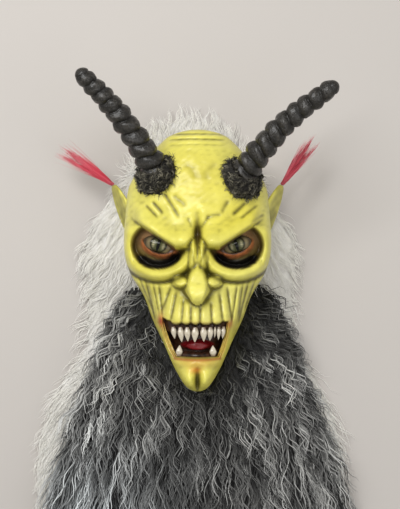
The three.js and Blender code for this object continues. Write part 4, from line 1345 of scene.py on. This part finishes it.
def held_in(place, flow, reach, limits):
    """Shorten hair so that it ends near the fur's outline: lowest and highest x, and lowest y."""
    way = unit_rows(flow)
    room = np.full(len(place), 1e3)
    for axis, sign, limit in ((0, -1, limits[0]), (0, 1, limits[1]), (1, -1, limits[2])):
        speed = np.maximum(way[:, axis] * sign, 0.05)
        room = np.minimum(room, (limit * sign - place[:, axis] * sign) / speed / LONGEST_SHARE)
    return np.clip(np.minimum(reach, room), 6, None)


class MASK_OT_mantle(bpy.types.Operator):
    """Grow the grey fur mantle"""

    bl_idname = "mask.mantle"
    bl_label = "Grey Mantle"

    def execute(self, context):
        s = context.scene.mask_fur
        ground = fur_ground("Grey underfur", (0.012, 0.012, 0.012), (0.05, 0.05, 0.05))
        grey = hair(
            "Grey hair", (0.011, 0.011, 0.011), (0.60, 0.60, 0.575), (0.66, 0.66, 0.64), 0.45, lit_and_shaded=True,
        )
        skin = cad_copy("grey_fur_mantle", "mantle_ground", ground, voxel=5)
        place, normal = corner_array(skin), point_values(skin, "normal")
        open_side = step(-0.35, 0.1, normal[:, 2])
        lumps = ripple(*place.T, 38, 31) * 2.2 + ripple(*place.T, 14, 32) * 1.2
        moved = place + normal * (open_side * (lumps - 3))[:, None]
        moved[:, 0] -= np.sign(moved[:, 0]) * 18 * step(120, 178, np.abs(moved[:, 0]))
        place_corners(skin, moved)
        place = moved
        x, y = place[:, 0], place[:, 1]
        spread = mix(0.95, 0.42, step(-70, -260, y))
        veer = 26 * ripple(x, y, 0 * x, 95, 33)
        flow = np.stack([x * spread + veer, y - 60, 0 * x], axis=1)
        tunnel = (np.abs(x) < 112) & (place[:, 2] < 60) & (normal[:, 2] < 0.2)
        thick = open_side * ~tunnel
        reach = held_in(place, flow, mix(40, 74, step(-110, -330, y)), MANTLE_LIMITS)
        curl = mix(1.3, 0.8, step(-170, -400, y)) * mix(1.0, 0.75, step(40, -160, x))
        # Painted shade and light: the fur darkens near the face, which shades it, less so on the left; it
        # grows lighter towards the sides, most on the left where the key light falls; and the lower left takes
        # a cool painted light.
        from_face = np.where(y > JAW_Y, np.abs(x) - face_half_width(y), np.hypot(x, y - JAW_Y))
        left = step(40, -60, x)
        painted_light_and_shade = mix(mix(0.22, 0.55, left), 1, step(-5, 80, from_face))
        painted_light_and_shade = (painted_light_and_shade * mix(0.86, 1.25 + 0.2 * left, step(30, 150, np.abs(x))))[:, None]
        low_left = (step(-180, -380, y) * step(60, -140, x))[:, None]
        bluish = mix(np.ones((1, 3)), np.array((1.12, 1.18, 1.25)), low_left)
        give_attribute(skin, "Tint", "FLOAT_VECTOR", painted_light_and_shade * bluish)
        hair_skin(skin, flow, reach, thick, curl)
        settle(skin, "grey_fur_mantle")
        for part, seed in (("a", 41), ("b", 42), ("c", 43)):
            settle(grown_hair(
                "mantle_hair_" + part, skin, strands_per_square_metre=s.grey_density / 3,
                strand_width=s.strand_width, lift=0.2, waves_per_strand=1.7, wave_size=0.0056, stray=0.4,
                points_per_strand=10, clump=0.85, lock_size=13.0, seed=seed, hair_material=grey,
            ))
        return {"FINISHED"}


class MASK_OT_hood(bpy.types.Operator):
    """Grow the white fur hood"""

    bl_idname = "mask.hood"
    bl_label = "White Hood"

    def execute(self, context):
        s = context.scene.mask_fur
        ground = fur_ground("White underfur", (0.83, 0.81, 0.76), (0.93, 0.91, 0.87))
        white = hair(
            "White hair", (0.95, 0.93, 0.86), (0.98, 0.965, 0.915), (0.99, 0.975, 0.93), 0.6, root=1.0,
            sheen=1.0,
        )
        skin = cad_copy("white_fur_hood", "hood_ground", ground, voxel=5)
        place, normal = corner_array(skin), point_values(skin, "normal")
        x, y, z = place.T
        open_side = step(-0.3, 0.15, normal[:, 2]) * (z > 3)
        lumps = ripple(x, y, z, 45, 51) * 2.0 + ripple(x, y, z, 16, 52)
        moved = place + normal * (open_side * (lumps - 3))[:, None]
        moved[:, 2] = np.maximum(moved[:, 2], 0)
        narrowing = mix(24, 6, step(-190, -70, y)) * step(108, 166, np.abs(x - HOOD_X))
        moved[:, 0] -= np.sign(x - HOOD_X) * narrowing
        place_corners(skin, moved)
        crown = step(60, 160, y)
        hem = y < HEM_Y
        aside = (x - HOOD_X) * mix(0.8, 0.45, step(-100, -350, y)) * (1 - 0.4 * crown)
        down = mix(-120, 150, crown) + mix(0, -130, step(-150, -400, y))
        flow = np.stack([
            aside + 18 * ripple(x, y, 0 * x, 80, 53), down + 18 * ripple(x, y, 0 * x, 60, 54), -420 * hem,
        ], axis=1)
        under_head = (np.abs(x) < 0.86 * face_half_width(y)) & (y < 140) & (y > -180)
        under_mantle = (np.abs(x) < 178) & (y < -120) & (y > HEM_Y)
        thick = open_side * ~under_head * (1 - 0.9 * under_mantle)
        reach = mix(30, 52, step(-60, -300, y)) * mix(1, 0.75, crown)
        reach = np.where(hem, HEM_REACH, held_in(place, flow, reach, HOOD_LIMITS))
        hair_skin(skin, flow, reach, thick * (1 + 0.6 * hem), 0 * x + 1)
        settle(skin, "white_fur_hood")
        for part, seed in (("a", 61), ("b", 62)):
            settle(grown_hair(
                "hood_hair_" + part, skin, strands_per_square_metre=s.white_density / 2,
                strand_width=s.strand_width * 0.62, lift=0.14, waves_per_strand=0.9, wave_size=0.0035,
                stray=0.35, points_per_strand=8, clump=0.55, lock_size=16.0, seed=seed, hair_material=white,
            ))
        return {"FINISHED"}


# Stage


FLOOR_HALF = 4000
FLOOR_Z = -0.4
PICTURE_WIDTH = 0.58
CAMERA_X, CAMERA_Y = 0.0036, -0.0138
FACE_FRONT_Z = 0.12
LIGHT_TARGET = (0, -0.05, 0.1)


class MASK_OT_stage(bpy.types.Operator):
    """Set the floor, the lights and the camera"""

    bl_idname = "mask.stage"
    bl_label = "Stage"

    def execute(self, context):
        s = context.scene.mask_stage
        corners = [(x * FLOOR_HALF, y * FLOOR_HALF, FLOOR_Z) for x, y in ((-1, -1), (1, -1), (1, 1), (-1, 1))]
        floor = mesh_object("floor", corners, [(0, 1, 2, 3)], studio_floor(tuple(s.floor_color)))
        self.add_light("key", (-0.55, 0.75, 1.75), 1.1, s.key_power)
        self.add_light("fill", (0.9, -0.3, 1.6), 1.4, s.key_power * 0.25)
        world = bpy.data.worlds.new("Soft studio")
        world.use_nodes = True
        world.node_tree.nodes["Background"].inputs["Color"].default_value = (1.0, 0.985, 0.96, 1)
        world.node_tree.nodes["Background"].inputs["Strength"].default_value = 0.46
        context.scene.world = world
        context.scene.view_settings.view_transform = "Standard"
        lens = bpy.data.cameras.new("camera")
        lens.sensor_fit = "HORIZONTAL"
        lens.sensor_width = 36
        lens.lens = lens.sensor_width * s.camera_height / PICTURE_WIDTH
        lens.clip_end = 50
        camera = new_object("camera", lens)
        camera.location = (CAMERA_X, CAMERA_Y, FACE_FRONT_Z + s.camera_height)
        context.scene.camera = camera
        return {"FINISHED"}

    def add_light(self, name, place, size, power):
        lamp = bpy.data.lights.new(name, "AREA")
        lamp.size = size
        lamp.energy = power
        made = new_object(name, lamp)
        made.location = place
        made.rotation_euler = (Vector(LIGHT_TARGET) - Vector(place)).to_track_quat("-Z", "Y").to_euler()


OPERATORS = (
    MASK_OT_stage,
    MASK_OT_face,
    MASK_OT_eyes,
    MASK_OT_teeth,
    MASK_OT_horns,
    MASK_OT_cuffs,
    MASK_OT_tufts,
    MASK_OT_mantle,
    MASK_OT_hood,
)
SETTINGS = {
    "mask_face": MaskFaceSettings,
    "mask_horn": MaskHornSettings,
    "mask_fur": MaskFurSettings,
    "mask_stage": MaskStageSettings,
}


class MASK_PT_panel(bpy.types.Panel):
    """The mask's settings and the buttons that build its pieces"""

    bl_label = "Demon Mask"
    bl_idname = "MASK_PT_panel"
    bl_space_type = "VIEW_3D"
    bl_region_type = "UI"
    bl_category = "Demon Mask"

    def draw(self, context):
        for name, kind in SETTINGS.items():
            box = self.layout.box()
            for key in kind.__annotations__:
                box.prop(getattr(context.scene, name), key)
        for operator in OPERATORS:
            self.layout.operator(operator.bl_idname)


def register():
    for kind in (*SETTINGS.values(), *OPERATORS, MASK_PT_panel):
        bpy.utils.register_class(kind)
    for name, kind in SETTINGS.items():
        setattr(bpy.types.Scene, name, PointerProperty(type=kind))


def unregister():
    for name in SETTINGS:
        delattr(bpy.types.Scene, name)
    for kind in (MASK_PT_panel, *reversed(OPERATORS), *reversed(list(SETTINGS.values()))):
        bpy.utils.unregister_class(kind)


def main():
    register()
    for operator in OPERATORS:
        family, name = operator.bl_idname.split(".")
        getattr(getattr(bpy.ops, family), name)()


if __name__ == "__main__":
    main()
